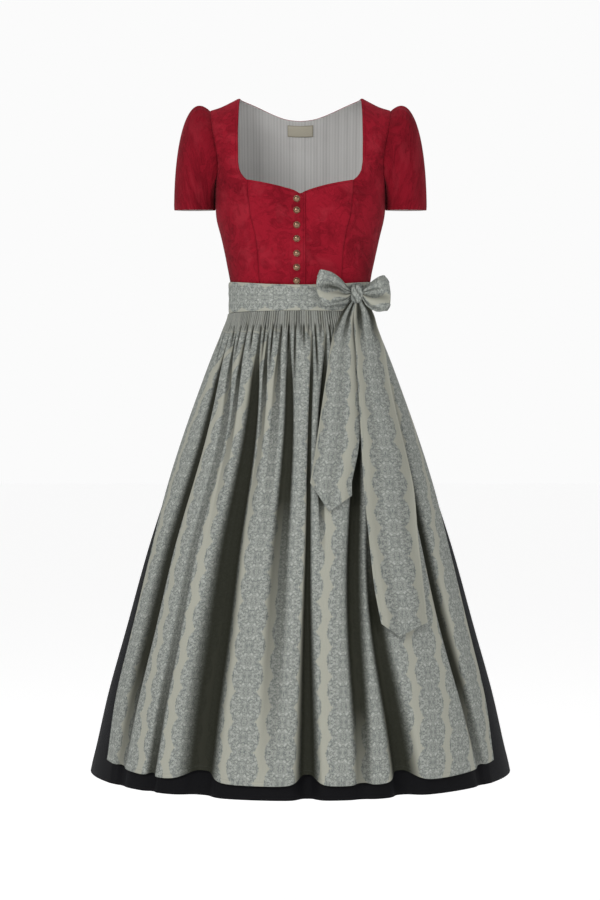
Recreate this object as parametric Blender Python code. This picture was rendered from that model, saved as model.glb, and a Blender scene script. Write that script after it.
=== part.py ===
"""A dirndl with short puff sleeves, a long gathered skirt and an apron tied in a bow, as it is worn.

Metres, +Z up, the front looks along -Y and the wearer's right side is at -X. The origin is midway between the
shoulder seams, at the height where the shoulders carry the dress. Run it with Blender 4.5:
    blender --background --python part.py
"""

import math

import bmesh
import bpy
import numpy as np

# Driving sizes of the garment
SHOULDER_TOP = 0.013  # the neck end of the shoulder seam, above the origin
SHOULDER_ROLL = 0.105  # height over which the bodice rounds over the shoulder
NECK_HALF_WIDTH = 0.121
UNDERARM = -0.170
BODICE_BOTTOM = -0.385
BODICE_WALL = 0.002  # velvet on its backing
LINING_WALL = 0.001
LINING_OFF = 0.0017  # the lining hangs free of the back's wall
SLEEVE_WALL = 0.0016
SKIRT_WALL = 0.0013
APRON_WALL = 0.0012
BAND_WALL = 0.0022
BOW_WALL = 0.0014
SEAM_GAP = 0.0003
SKIRT_HEM = -1.327
APRON_TOP = -0.4195
APRON_HEM = -1.301
SHIRRING_BOTTOM = -0.458
APRON_OFF_SKIRT = 0.0065  # how far the apron's face stands off the skirt's
HALF_TURN = 180.0

# The bodice, one row for each level: level, half width, front depth, back depth, squareness of the section
BODICE_SECTIONS = np.array([
    (-0.400, 0.1380, 0.1000, 0.0880, 2.15),
    (-0.381, 0.1370, 0.0990, 0.0870, 2.15),
    (-0.350, 0.1410, 0.1040, 0.0890, 2.20),
    (-0.310, 0.1490, 0.1130, 0.0930, 2.25),
    (-0.270, 0.1575, 0.1210, 0.0980, 2.30),
    (-0.225, 0.1680, 0.1255, 0.1020, 2.40),
    (-0.180, 0.1705, 0.1210, 0.1050, 2.60),
    (-0.130, 0.1715, 0.1110, 0.1040, 3.00),
    (-0.080, 0.1765, 0.1010, 0.1000, 3.30),
    (-0.040, 0.1830, 0.0960, 0.0940, 3.50),
    (0.013, 0.1915, 0.0940, 0.0880, 3.50),
])
# The shoulder seam seen from the front: distance from the middle, height
SHOULDER_LINE = np.array([
    (0.000, 0.013),
    (0.118, 0.013),
    (0.138, 0.003),
    (0.158, -0.0065),
    (0.184, -0.014),
])
# Princess seam and front neck edge: level, distance from the middle
FRONT_INNER_EDGE = np.array([
    (-0.400, 0.0800),
    (-0.361, 0.0810),
    (-0.302, 0.0840),
    (-0.267, 0.0895),
    (-0.233, 0.0985),
    (-0.186, 0.1035),
    (-0.1635, 0.1040),
    (-0.158, 0.1110),
    (-0.150, 0.1170),
    (-0.142, 0.1205),
    (-0.128, 0.1226),
    (-0.080, 0.1230),
    (-0.020, 0.1222),
    (0.013, 0.1210),
])
# Front neckline over the bust: distance from the middle, level
SWEETHEART = np.array([
    (-0.020, -0.1850),
    (0.000, -0.1930),
    (0.012, -0.1868),
    (0.030, -0.1805),
    (0.065, -0.1715),
    (0.104, -0.1635),
])
# Back neckline: distance from the middle, level
BACK_NECK = np.array([
    (0.000, -0.0220),
    (0.033, -0.0200),
    (0.066, -0.0120),
    (0.100, 0.0020),
    (0.121, 0.0130),
])
# Armhole: level, depth of its edge as a share of the section's depth
ARMHOLE = np.array([
    (-0.170, 0.00),
    (-0.166, 0.23),
    (-0.150, 0.43),
    (-0.120, 0.53),
    (-0.090, 0.56),
    (-0.060, 0.57),
    (-0.030, 0.59),
    (-0.010, 0.60),
    (0.005, 0.61),
    (0.013, 0.62),
])
LOWER_LEVELS = (BODICE_BOTTOM, -0.350, -0.310, -0.270, -0.235, -0.200)
ARMHOLE_LEVELS = tuple(ARMHOLE[:, 0])

# Bust cups: how far they stand out, their middle and their spread
CUP_OUT, CUP_X, CUP_Z, CUP_WIDE, CUP_HIGH = 0.008, 0.085, -0.225, 0.045, 0.060

# Front closure: the wearer's right front laps over the left and is buttoned on its edge
LAP_EDGE, LAP_STEP, UNDERLAP_EDGE = 0.010, 0.0024, -0.012
BUTTON_X, BUTTON_R, BUTTON_HIGH = -0.0072, 0.0067, 0.0046
FIRST_BUTTON = -0.2037
BUTTON_SPACES = (0.022, 0.028, 0.026, 0.028, 0.0265, 0.026)

# Sleeve: hem ring, puff of the head, gathers round the head
SLEEVE_HEM_X, SLEEVE_HEM_Z = 0.2125, -0.2105
SLEEVE_HEM_RX, SLEEVE_HEM_RY = 0.0405, 0.060
SLEEVE_ROWS = (0.0, 0.14, 0.32, 0.55, 0.78, 1.0)
GATHER_DEEP = 0.0014

# The skirt's outer face, one row for each height: height, half width, front depth, back depth
SKIRT_SECTIONS = np.array([
    (-1.3270, 0.4180, 0.4000, 0.4000),
    (-1.2810, 0.4070, 0.3900, 0.3900),
    (-1.1750, 0.3830, 0.3650, 0.3660),
    (-1.0490, 0.3480, 0.3310, 0.3320),
    (-0.8710, 0.2985, 0.2810, 0.2800),
    (-0.7590, 0.2620, 0.2450, 0.2420),
    (-0.6830, 0.2355, 0.2170, 0.2120),
    (-0.5900, 0.2025, 0.1780, 0.1700),
    (-0.5000, 0.1690, 0.1380, 0.1270),
    (-0.4570, 0.1515, 0.1180, 0.1060),
    (-0.4240, 0.1390, 0.1035, 0.0925),
    (-0.3853, 0.1370, 0.0990, 0.0870),
])
FOLD_LEVELS = np.array((-1.30, -0.90, -0.60, -0.46))
# Folds of the front, shared by skirt and apron. Turn from the middle front in degrees, half width and depth in
# millimetres, each at the hem, low, at the hip and under the gathers.
FRONT_FOLDS = (
    # turn_deg                     half_width_mm      depth_mm
    ((-54.0, -53.5, -54.5, -63.0), (16, 15, 9, 5), (15, 25, 15, 6)),
    ((-38.0, -40.0, -43.0, -55.0), (9, 9, 8, 4), (2, 3, 8, 6)),
    ((-33.0, -35.0, -37.0, -43.5), (8, 8, 6, 4), (0, 0, 4, 6)),
    ((-25.0, -24.5, -26.5, -31.0), (28, 17, 10, 4), (32, 26, 17, 6)),
    ((-19.0, -20.0, -20.5, -24.0), (9, 8, 6, 4), (0, 0, 9, 6)),
    ((-13.0, -13.0, -13.0, -14.5), (9, 8, 8, 4), (0, 0, 4, 6)),
    ((-6.5, -5.2, -4.5, -8.0), (12, 12, 8, 4), (0, 14, 13, 6)),
    ((3.4, 2.6, 6.6, 8.5), (25, 10, 7, 4), (33, 22, 14, 6)),
    ((8.0, 8.0, 12.5, 19.0), (8, 8, 8, 4), (0, 4, 12, 6)),
    ((16.0, 19.5, 30.0, 33.0), (14, 15, 9, 4), (7, 24, 12, 6)),
    ((28.5, 26.0, 38.0, 42.0), (24, 12, 8, 4), (32, 10, 5, 5)),
    ((56.0, 53.5, 60.5, 68.0), (14, 13, 9, 5), (6, 20, 12, 6)),
)
# Folds of the hidden back, in the same columns, counted on from the middle front
BACK_FOLDS = (
    ((101.0, 100.0, 99.0, 98.0), (20, 15, 8, 5), (18, 14, 9, 3)),
    ((119.0, 118.0, 116.0, 114.0), (16, 12, 8, 5), (12, 16, 10, 4)),
    ((136.0, 134.0, 132.0, 129.0), (24, 16, 9, 5), (26, 20, 12, 4)),
    ((155.0, 153.0, 150.0, 147.0), (18, 13, 8, 5), (14, 15, 10, 4)),
    ((171.0, 171.0, 168.0, 165.0), (16, 11, 7, 5), (10, 14, 9, 4)),
    ((189.0, 188.0, 186.0, 183.0), (26, 16, 9, 5), (28, 22, 13, 4)),
    ((209.0, 208.0, 207.0, 203.0), (18, 13, 8, 5), (14, 16, 9, 4)),
    ((228.0, 226.0, 226.0, 224.0), (22, 15, 8, 5), (22, 18, 11, 4)),
    ((245.0, 244.0, 245.0, 243.0), (16, 12, 8, 5), (10, 13, 10, 4)),
    ((260.0, 260.0, 260.0, 261.0), (20, 15, 8, 5), (18, 15, 9, 3)),
)
# Columns of cloth between one fold and the next, from edge to edge
FRONT_COLUMNS = (6, 4, 3, 4, 3, 4, 4, 4, 3, 5, 4, 7, 7)
BACK_COLUMNS = (3, 4, 4, 4, 4, 4, 4, 4, 4, 4, 3)
SIDE_COLUMNS = 3
SKIRT_TOP = -0.3855
SKIRT_PLEAT_DEEP = 0.0011
# The apron's edge, in degrees from the middle front: height, turn
APRON_EDGE = np.array([
    (-1.301, 63.5),
    (-1.175, 66.5),
    (-1.049, 69.0),
    (-0.871, 76.0),
    (-0.759, 84.0),
    (-0.600, 88.0),
    (-0.4195, 89.0),
])
GATHER_HIGH = 0.0010
SHIRRING_ROWS = (APRON_TOP, (APRON_TOP + SHIRRING_BOTTOM) / 2, SHIRRING_BOTTOM)
APRON_ROWS = (-0.490, -0.560, -0.660, -0.785, -0.935, -1.110, APRON_HEM)
CORNER_LIFT, FOLD_LIFT = 0.017, 0.30  # the apron's hem rises to its corners, and in the folds

# Waistband of the apron with its ties, wound round the waist
BAND_HALF_WIDTH, BAND_FRONT, BAND_BACK = 0.1440, 0.1080, 0.0965
BAND_TOP, BAND_BOTTOM, BAND_DIP, BAND_LOW_DIP = -0.3570, -0.4145, 0.0115, 0.0045
BAND_COLUMNS = 44

# The bow
KNOT = np.array((0.112, -0.0861, -0.3825))
KNOT_R = np.array((0.0125, 0.0115, 0.0172))
# Loops: how far they reach, across at knot and tip, how thick they stand, the way they point
LOOPS = {
    "bow_loop_right": dict(reach=(-0.084, -0.044, 0.006), knot_high=0.018, tip_high=0.074, swell=0.0125),
    "bow_loop_left": dict(reach=(0.071, 0.014, -0.004), knot_high=0.018, tip_high=0.072, swell=0.0135),
}
# Tails: height, wearer's right edge, wearer's left edge; both end in a point
TAILS = {
    "bow_tail_right": dict(off=0.0075, point=(0.055, -0.796), rows=np.array([
        (-0.4002, 0.1020, 0.1105),
        (-0.425, 0.0780, 0.1020),
        (-0.455, 0.0650, 0.0990),
        (-0.500, 0.0560, 0.1010),
        (-0.560, 0.0480, 0.1060),
        (-0.620, 0.0390, 0.1110),
        (-0.680, 0.0300, 0.1115),
        (-0.752, 0.0185, 0.1010),
    ])),
    "bow_tail_left": dict(off=0.0125, point=(0.194, -1.036), rows=np.array([
        (-0.4002, 0.1125, 0.1215),
        (-0.430, 0.1090, 0.1480),
        (-0.470, 0.1080, 0.1620),
        (-0.530, 0.1100, 0.1700),
        (-0.600, 0.1130, 0.1830),
        (-0.680, 0.1160, 0.2010),
        (-0.760, 0.1200, 0.2170),
        (-0.860, 0.1290, 0.2240),
        (-0.960, 0.1400, 0.2340),
        (-1.012, 0.1500, 0.2390),
    ])),
}
TAIL_COLUMNS = 6

# Blank woven label inside the back neck
LABEL_HALF_WIDTH, LABEL_TOP, LABEL_BOTTOM, LABEL_WALL = 0.026, -0.0290, -0.0510, 0.0008

COLOURS = {
    # slot: red, green, blue, roughness, metallic
    "velvet": (0.262, 0.010, 0.022, 0.85, 0.0),
    "lining": (0.300, 0.295, 0.290, 0.80, 0.0),
    "skirt_cloth": (0.012, 0.012, 0.014, 0.75, 0.0),
    "apron_cloth": (0.300, 0.320, 0.290, 0.55, 0.0),
    "button_metal": (0.320, 0.270, 0.200, 0.38, 1.0),
    "label_cloth": (0.330, 0.310, 0.240, 0.70, 0.0),
}


def smooth_at(places, knots, values):
    """A smooth curve through a table's points, read at the given places."""
    knots = np.asarray(knots, float)
    values = np.asarray(values, float)
    slopes = np.gradient(values, knots)
    places = np.clip(np.asarray(places, float), knots[0], knots[-1])
    i = np.clip(np.searchsorted(knots, places) - 1, 0, len(knots) - 2)
    span = knots[i + 1] - knots[i]
    t = (places - knots[i]) / span
    return (
        values[i] * (1 + 2 * t) * (1 - t) ** 2
        + slopes[i] * span * t * (1 - t) ** 2
        + values[i + 1] * t**2 * (3 - 2 * t)
        + slopes[i + 1] * span * t**2 * (t - 1)
    )


def ease(t):
    """0 before 0, 1 after 1, and smooth between."""
    t = np.clip(t, 0.0, 1.0)
    return t * t * (3 - 2 * t)


def material(slot):
    """The Principled material of a slot, made once."""
    found = bpy.data.materials.get(slot)
    if found:
        return found
    red, green, blue, roughness, metallic = COLOURS[slot]
    made = bpy.data.materials.new(slot)
    made.use_nodes = True
    shader = made.node_tree.nodes["Principled BSDF"]
    shader.inputs["Base Color"].default_value = (red, green, blue, 1)
    shader.inputs["Roughness"].default_value = roughness
    shader.inputs["Metallic"].default_value = metallic
    made.diffuse_color = (red, green, blue, 1)
    return made


def add_piece(name, points, faces, slot):
    """A named object from points and faces, with its faces pointing out."""
    mesh = bpy.data.meshes.new(name)
    mesh.from_pydata([tuple(map(float, p)) for p in points], [], faces)
    shaper = bmesh.new()
    shaper.from_mesh(mesh)
    if shaper.calc_volume(signed=True) < 0:
        bmesh.ops.reverse_faces(shaper, faces=shaper.faces)
    shaper.to_mesh(mesh)
    shaper.free()
    mesh.shade_smooth()
    mesh.set_sharp_from_angle(angle=math.radians(50))
    mesh.materials.append(material(slot))
    piece = bpy.data.objects.new(name, mesh)
    bpy.context.scene.collection.objects.link(piece)
    return piece


def grid_normals(grid, around=False):
    """Unit normals of a grid of points, rows first."""
    if around:
        wide = np.concatenate([grid[:, -1:], grid, grid[:, :1]], axis=1)
        across = wide[:, 2:] - wide[:, :-2]
    else:
        across = np.gradient(grid, axis=1)
    along = np.gradient(grid, axis=0)
    normals = np.cross(across, along)
    return normals / np.maximum(np.linalg.norm(normals, axis=2, keepdims=True), 1e-12)


def halves(face, points):
    """A face as triangles, a quad split along its shorter diagonal, so that both faces of a wall stay parallel."""
    if len(face) == 3:
        return [tuple(face)]
    a, b, c, d = face
    if np.linalg.norm(points[a] - points[c]) > np.linalg.norm(points[b] - points[d]):
        a, b, c, d = b, c, d, a
    return [(a, b, c), (a, c, d)]


def wall(name, outer, thickness, slot, around=False, inward=None):
    """A cloth wall: the grid of its outer face, and the same grid moved in by the cloth's thickness."""
    rows, columns = outer.shape[:2]
    if inward is None:
        inward = -grid_normals(outer, around)
    inner = outer + inward * thickness
    points = np.concatenate([outer.reshape(-1, 3), inner.reshape(-1, 3)])
    under = rows * columns
    faces = []
    last = columns if around else columns - 1
    for r in range(rows - 1):
        for c in range(last):
            n = (c + 1) % columns
            quad = (r * columns + c, r * columns + n, (r + 1) * columns + n, (r + 1) * columns + c)
            for half in halves(quad, points):
                faces.append(half)
                faces.append(tuple(under + q for q in reversed(half)))
    for c in range(last):
        n = (c + 1) % columns
        low = (rows - 1) * columns
        faces.append((n, c, under + c, under + n))
        faces.append((low + c, low + n, under + low + n, under + low + c))
    if not around:
        for r in range(rows - 1):
            a, b = r * columns, (r + 1) * columns
            faces.append((a, b, under + b, under + a))
            a, b = a + columns - 1, b + columns - 1
            faces.append((b, a, under + a, under + b))
    return add_piece(name, points, faces, slot)


# The bodice
def bodice_section(level, front):
    """Half a section of the bodice: its running share, distance from the middle and depth, and its share of drop."""
    half, front_deep, back_deep, square = (
        float(smooth_at(level, BODICE_SECTIONS[:, 0], BODICE_SECTIONS[:, k])) for k in (1, 2, 3, 4)
    )
    turn = np.linspace(0, math.pi / 2, 181)
    x = half * np.sin(turn) ** (2 / square)
    y = np.cos(turn) ** (2 / square)
    y[-1] = 0
    rolled = min(1.0, max(0.0, 1 - (SHOULDER_TOP - level) / SHOULDER_ROLL))
    roll = (1 - rolled**2.2) ** (1 / 2.2)
    deep = (front_deep if front else back_deep) * roll
    y = y * deep
    if front:
        cups = np.exp(-(((x - CUP_X) / CUP_WIDE) ** 2) - ((level - CUP_Z) / CUP_HIGH) ** 2)
        y = y + CUP_OUT * cups * np.cos(turn) ** 0.5
    share = np.concatenate([[0], np.cumsum(np.hypot(np.diff(x), np.diff(y)))])
    share /= share[-1]
    drop = float(ease((level - UNDERARM) / (SHOULDER_TOP - UNDERARM)))
    return share, x, y, drop


def bodice_point(share, level, front, out=0.0):
    """A point of the bodice at a signed share of the half section and a level, moved out by a distance."""
    def at(share_here, level_here):
        shares, xs, ys, drop = bodice_section(level_here, front)
        side = math.copysign(1.0, share_here) if share_here else 1.0
        x = np.interp(abs(share_here), shares, xs)
        y = np.interp(abs(share_here), shares, ys)
        shoulder = float(smooth_at(x, SHOULDER_LINE[:, 0], SHOULDER_LINE[:, 1])) - SHOULDER_TOP
        return np.array((side * x, -y if front else y, level_here + shoulder * drop))

    point = at(share, level)
    step = 0.002
    across = at(share + step, level) - at(share - step, level)
    if abs(share) > 1 - step:
        across = (at(share, level) - at(share - math.copysign(step, share), level)) * math.copysign(1, share)
    rise = at(share, level) - at(share, level - step)
    normal = np.cross(across, rise) if front else np.cross(rise, across)
    normal /= np.linalg.norm(normal)
    return point + normal * out, normal


def share_of_x(x, level, front):
    """The signed share of the half section whose distance from the middle is x."""
    shares, xs, _, _ = bodice_section(level, front)
    return math.copysign(float(np.interp(abs(x), xs, shares)), x)


def armhole_share(level, front):
    """The share of the half section where the armhole, or below it the side seam, ends a panel."""
    if level <= UNDERARM:
        return 1.0
    shares, xs, _, _ = bodice_section(level, front)
    half, square = (float(smooth_at(level, BODICE_SECTIONS[:, 0], BODICE_SECTIONS[:, k])) for k in (1, 4))
    deep = float(np.interp(level, ARMHOLE[:, 0], ARMHOLE[:, 1]))
    return float(np.interp(half * (1 - deep**square) ** (1 / square), xs, shares))


def bodice_grid(share_at, level_at, rows, columns, front, out=None):
    """Points and inward directions of a bodice panel."""
    grid = np.zeros((rows, columns, 3))
    inward = np.zeros((rows, columns, 3))
    for r in range(rows):
        for c in range(columns):
            level = level_at(r, c)
            share = share_at(level, c)
            shift = out(share, level) if out else 0.0
            grid[r, c], normal = bodice_point(share, level, front, shift)
            inward[r, c] = -normal
    return grid, inward


def straight_down(grid, inward, side_step):
    """Along the shoulder seam the wall's edge points straight down, a seam's gap from the panel it meets."""
    seam = np.abs(grid[-1, :, 1]) < 0.002
    grid[-1, seam, 1] = side_step
    inward[-1, seam, 1] = 0
    inward[-1] /= np.linalg.norm(inward[-1], axis=1, keepdims=True)


def sweetheart_level(x):
    return float(smooth_at(abs(x), SWEETHEART[:, 0], SWEETHEART[:, 1]))


def front_edge_x(level):
    return float(np.interp(level, FRONT_INNER_EDGE[:, 0], FRONT_INNER_EDGE[:, 1]))


def build_front_centre(side):
    """The buttoned middle front of one side. Side -1 is the wearer's right, which laps over."""
    # the rows meet the side panel's rows along the princess seam
    levels = LOWER_LEVELS + (ARMHOLE_LEVELS[0], SWEETHEART[-1, 1])
    columns = 9
    seam = SEAM_GAP / 2
    start = LAP_EDGE if side < 0 else UNDERLAP_EDGE
    # columns crowd the step beside the closure
    spread = np.array((0.0, 0.10, 0.21, 0.31, 0.42, 0.56, 0.70, 0.85, 1.0))

    def x_at(level, c):
        end = side * (front_edge_x(level) - seam)
        return start + spread[c] * (end - start)

    def level_at(r, c):
        top = SWEETHEART[1, 1]
        for _ in range(8):
            top = sweetheart_level(x_at(top, c))
        return BODICE_BOTTOM + (levels[r] - BODICE_BOTTOM) * (top - BODICE_BOTTOM) / (levels[-1] - BODICE_BOTTOM)

    def share_at(level, c):
        return share_of_x(x_at(level, c), level, True)

    def lap(share, level):
        x = bodice_point(share, level, True)[0][0]
        return LAP_STEP * float(ease((x + 0.030) / 0.014)) if side < 0 else 0.0

    grid, inward = bodice_grid(share_at, level_at, len(levels), columns, True, lap)
    name = "front_centre_right" if side < 0 else "front_centre_left"
    return wall(name, grid, BODICE_WALL, "velvet", inward=inward)


def build_front_side(side):
    """Side front with the strap that runs up to the shoulder seam."""
    levels = LOWER_LEVELS + ARMHOLE_LEVELS
    columns = 7
    seam = SEAM_GAP / 2

    def share_at(level, c):
        inner = share_of_x(front_edge_x(level) + seam, level, True)
        outer = armhole_share(level, True)
        if level <= UNDERARM:
            outer -= seam / 0.24
        return side * (inner + c / (columns - 1) * (outer - inner))

    grid, inward = bodice_grid(share_at, lambda r, c: levels[r], len(levels), columns, True)
    straight_down(grid, inward, -seam)
    name = "front_side_right" if side < 0 else "front_side_left"
    return wall(name, grid, BODICE_WALL, "velvet", inward=inward)


def back_columns(half):
    """Signed shares of the armhole's share, with one column on each neck point."""
    neck = NECK_HALF_WIDTH / (armhole_share(SHOULDER_TOP, False) * BODICE_SECTIONS[-1, 1])
    inner = np.linspace(0, neck, half - 3)
    outer = np.linspace(neck, 1, 5)[1:]
    one_side = np.concatenate([inner, outer])
    return np.concatenate([-one_side[:0:-1], one_side]), neck


def back_grid(half, levels, out):
    """The back from side seam to side seam, cut out at the neck and the armholes."""
    shares, neck = back_columns(half)
    bottom, top = levels[0], levels[-1]

    def share_at(level, c):
        outer = armhole_share(level, False)
        if level <= UNDERARM:
            outer -= SEAM_GAP / 2 / 0.24
        return shares[c] * outer

    def column_top(c):
        if abs(shares[c]) > neck + 1e-9:
            return top
        level = BACK_NECK[0, 1]
        for _ in range(12):
            x = bodice_point(share_at(level, c), level, False)[0][0]
            level = float(smooth_at(abs(x), BACK_NECK[:, 0], BACK_NECK[:, 1]))
        return min(level, top)

    tops = [column_top(c) for c in range(len(shares))]

    def level_at(r, c):
        return bottom + (levels[r] - bottom) / (top - bottom) * (tops[c] - bottom)

    grid, inward = bodice_grid(share_at, level_at, len(levels), len(shares), False, lambda s, k: out)
    straight_down(grid, inward, SEAM_GAP / 2)
    return grid, inward


def build_back():
    """The back, and its striped lining seen through the neck."""
    grid, inward = back_grid(9, LOWER_LEVELS + ARMHOLE_LEVELS, 0.0)
    wall("back", grid, BODICE_WALL, "velvet", inward=inward)
    kept = [r for r in range(len(grid)) if r % 2 == 0 or r < 4]
    lining = (grid + inward * (BODICE_WALL + LINING_OFF))[kept]
    wall("back_lining", lining, LINING_WALL, "lining", inward=inward[kept])


def build_label():
    """A blank woven label sewn to the lining below the back neck."""
    off = -(BODICE_WALL + LINING_OFF + LINING_WALL + SEAM_GAP + 0.0014)
    columns = 7

    def share_at(level, c):
        return share_of_x(LABEL_HALF_WIDTH * (2 * c / (columns - 1) - 1), level, False)

    def level_at(r, c):
        return LABEL_TOP + (LABEL_BOTTOM - LABEL_TOP) * (1 - r / 2)

    grid, inward = bodice_grid(share_at, level_at, 3, columns, False, lambda s, k: off)
    wall("label", grid, LABEL_WALL, "label_cloth", inward=inward)


def build_buttons():
    """Domed metal buttons on the lapped edge."""
    level = FIRST_BUTTON
    for i in range(len(BUTTON_SPACES) + 1):
        share = share_of_x(BUTTON_X, level, True)
        foot, normal = bodice_point(share, level, True, LAP_STEP + SEAM_GAP)
        turn = np.linspace(0, math.pi / 2, 5)
        # radius and height, from the foot's edge over the rim to near the crown
        profile = [(0.45, 0.0), (0.90, 0.10), (1.0, 0.24)]
        profile += [(math.cos(t), 0.24 + 0.76 * math.sin(t)) for t in turn[1:-1]]
        normal[2] *= 0.3
        normal /= np.linalg.norm(normal)
        across = np.cross(normal, (0, 0, 1.0))
        across /= np.linalg.norm(across)
        up = np.cross(across, normal)
        sides = 10
        # the foot clears the curved panel at the button's outer edge
        foot = foot + normal * (0.0001, 0.0001, 0.0001, 0.0004, 0.0009, 0.0009, 0.0009)[i]
        points = []
        for radius, height in profile:
            for s in range(sides):
                a = 2 * math.pi * s / sides
                flat = across * math.cos(a) + up * math.sin(a)
                points.append(foot + flat * radius * BUTTON_R + normal * height * BUTTON_HIGH)
        points.append(foot + normal * BUTTON_HIGH)
        faces = [tuple(range(sides))[::-1]]
        for r in range(len(profile) - 1):
            for s in range(sides):
                n = (s + 1) % sides
                faces.append((r * sides + s, r * sides + n, (r + 1) * sides + n, (r + 1) * sides + s))
        crown = len(points) - 1
        base = (len(profile) - 1) * sides
        faces += [(base + s, base + (s + 1) % sides, crown) for s in range(sides)]
        add_piece(f"button_{i + 1}", points, faces, "button_metal")
        if i < len(BUTTON_SPACES):
            level -= BUTTON_SPACES[i]


def build_sleeve(side):
    """A short puff sleeve, from the points of the armhole to its straight hem."""
    front = [bodice_point(armhole_share(k, True), k, True)[0] for k in reversed(ARMHOLE_LEVELS)]
    back = [bodice_point(armhole_share(k, False), k, False)[0] for k in ARMHOLE_LEVELS]
    ring = np.array(front + back[1:-1])
    ring[0, 1] = 0.0
    ring = np.stack([ring, (ring + np.roll(ring, -1, axis=0)) / 2], axis=1).reshape(-1, 3)
    long = np.linalg.norm(np.diff(np.concatenate([ring, ring[:1]]), axis=0), axis=1)
    around = np.concatenate([[0], np.cumsum(long)[:-1]]) / long.sum() * 2 * math.pi
    radial = np.stack([np.zeros_like(around), -np.sin(around), np.cos(around)], axis=1)
    high = (1 + np.cos(around)) / 2  # 1 at the shoulder, 0 under the arm
    leave = np.array((0.76, 0, 0)) + radial * 0.65
    leave /= np.linalg.norm(leave, axis=1, keepdims=True)
    start = ring + leave * 0.0006
    hem = np.stack([
        SLEEVE_HEM_X + SLEEVE_HEM_RX * np.cos(around),
        -SLEEVE_HEM_RY * np.sin(around),
        np.full_like(around, SLEEVE_HEM_Z),
    ], axis=1)
    first = start + leave * (0.007 + 0.058 * high[:, None] ** 1.5)
    second = hem + np.array((0, 0, 1.0)) * (0.012 + 0.115 * high[:, None])
    rows = []
    for t in SLEEVE_ROWS:
        line = (
            start * (1 - t) ** 3
            + first * 3 * t * (1 - t) ** 2
            + second * 3 * t**2 * (1 - t)
            + hem * t**3
        )
        gathers = (-1.0) ** np.arange(len(around)) * high**2 * GATHER_DEEP * math.sin(math.pi * min(1, 1.6 * t)) ** 2
        rows.append(line + radial * gathers[:, None])
    grid = np.array(rows)
    grid[:, :, 0] *= side
    outward = grid_normals(grid, around=True)
    middle = grid[len(rows) // 2].mean(axis=0)
    if ((grid[len(rows) // 2] - middle) * outward[len(rows) // 2]).sum() < 0:
        outward = -outward
    name = "sleeve_right" if side < 0 else "sleeve_left"
    return wall(name, grid, SLEEVE_WALL, "velvet", around=True, inward=-outward)


# The skirt and the apron
def folds_at(turn, height, folds):
    """How far the cloth goes in at a turn, in degrees, and a height."""
    half, deep_front = (
        smooth_at(height, SKIRT_SECTIONS[:, 0], SKIRT_SECTIONS[:, k]) for k in (1, 2)
    )
    radius = (half + deep_front) / 2
    fade = ease((-0.425 - height) / 0.035)
    total = np.zeros(np.broadcast(turn, height).shape)
    for turns, widths, depths in folds:
        centre = smooth_at(height, FOLD_LEVELS, turns)
        width = smooth_at(height, FOLD_LEVELS, np.array(widths) / 1000)
        depth = np.maximum(smooth_at(height, FOLD_LEVELS, np.array(depths) / 1000), 0)
        off = np.radians(turn - centre) * radius / width
        total = total + depth * fade / (1 + np.abs(off) ** 2.6)
    return total


def skirt_point(turn, height, out=0.0):
    """Points of the skirt's outer face, turns in degrees from the middle front."""
    turn, height = np.broadcast_arrays(np.asarray(turn, float), np.asarray(height, float))
    half, front, back = (smooth_at(height, SKIRT_SECTIONS[:, 0], SKIRT_SECTIONS[:, k]) for k in (1, 2, 3))
    angle = np.radians(turn)
    deep = np.where(np.cos(angle) > 0, front, back)
    wrapped = (turn + HALF_TURN) % 360 - HALF_TURN
    inwards = folds_at(wrapped, height, FRONT_FOLDS) + folds_at(turn % 360, height, BACK_FOLDS)
    x, y = half * np.sin(angle), -deep * np.cos(angle)
    nx, ny = np.sin(angle) / half, -np.cos(angle) / deep
    long = np.hypot(nx, ny)
    move = out - inwards
    return np.stack([x + nx / long * move, y + ny / long * move, height], axis=-1)


def anchored_turns(height, edges, folds, counts):
    """Turns of the columns at a height, with one column along the middle of each fold."""
    anchors = [edges[0]] + [float(smooth_at(height, FOLD_LEVELS, fold[0])) for fold in folds] + [edges[1]]
    turns = [anchors[0]]
    for low, high, count in zip(anchors, anchors[1:], counts):
        turns.extend(low + (high - low) * k / count for k in range(1, count + 1))
    return np.array(turns)


def apron_turns(height):
    edge = float(smooth_at(height, APRON_EDGE[:, 0], APRON_EDGE[:, 1]))
    return anchored_turns(height, (-edge, edge), FRONT_FOLDS, FRONT_COLUMNS)


def hem_lift(turn, height):
    """How much a level of the cloth rises to the apron's corners and in its folds."""
    edge = float(smooth_at(height, APRON_EDGE[:, 0], APRON_EDGE[:, 1]))
    low = ease((-0.95 - height) / 0.35)
    share = np.clip(np.abs(turn) / edge, 0, 1)
    beside = ease((90 - np.abs(turn)) / (90.001 - edge))
    return (FOLD_LIFT * folds_at(turn, height, FRONT_FOLDS) + CORNER_LIFT * share**4) * low * beside


def skirt_front_row(height, out=0.0):
    """One row of the front breadth: the apron's own columns, and a few more to the side seams."""
    inner = apron_turns(height)
    limit = 90 - math.degrees(SEAM_GAP / 0.14)
    left = np.linspace(-limit, inner[0], SIDE_COLUMNS + 1)[:-1]
    right = np.linspace(inner[-1], limit, SIDE_COLUMNS + 1)[1:]
    turn = np.concatenate([left, inner, right])
    return skirt_point(turn, height + hem_lift(turn, height), out)


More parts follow.
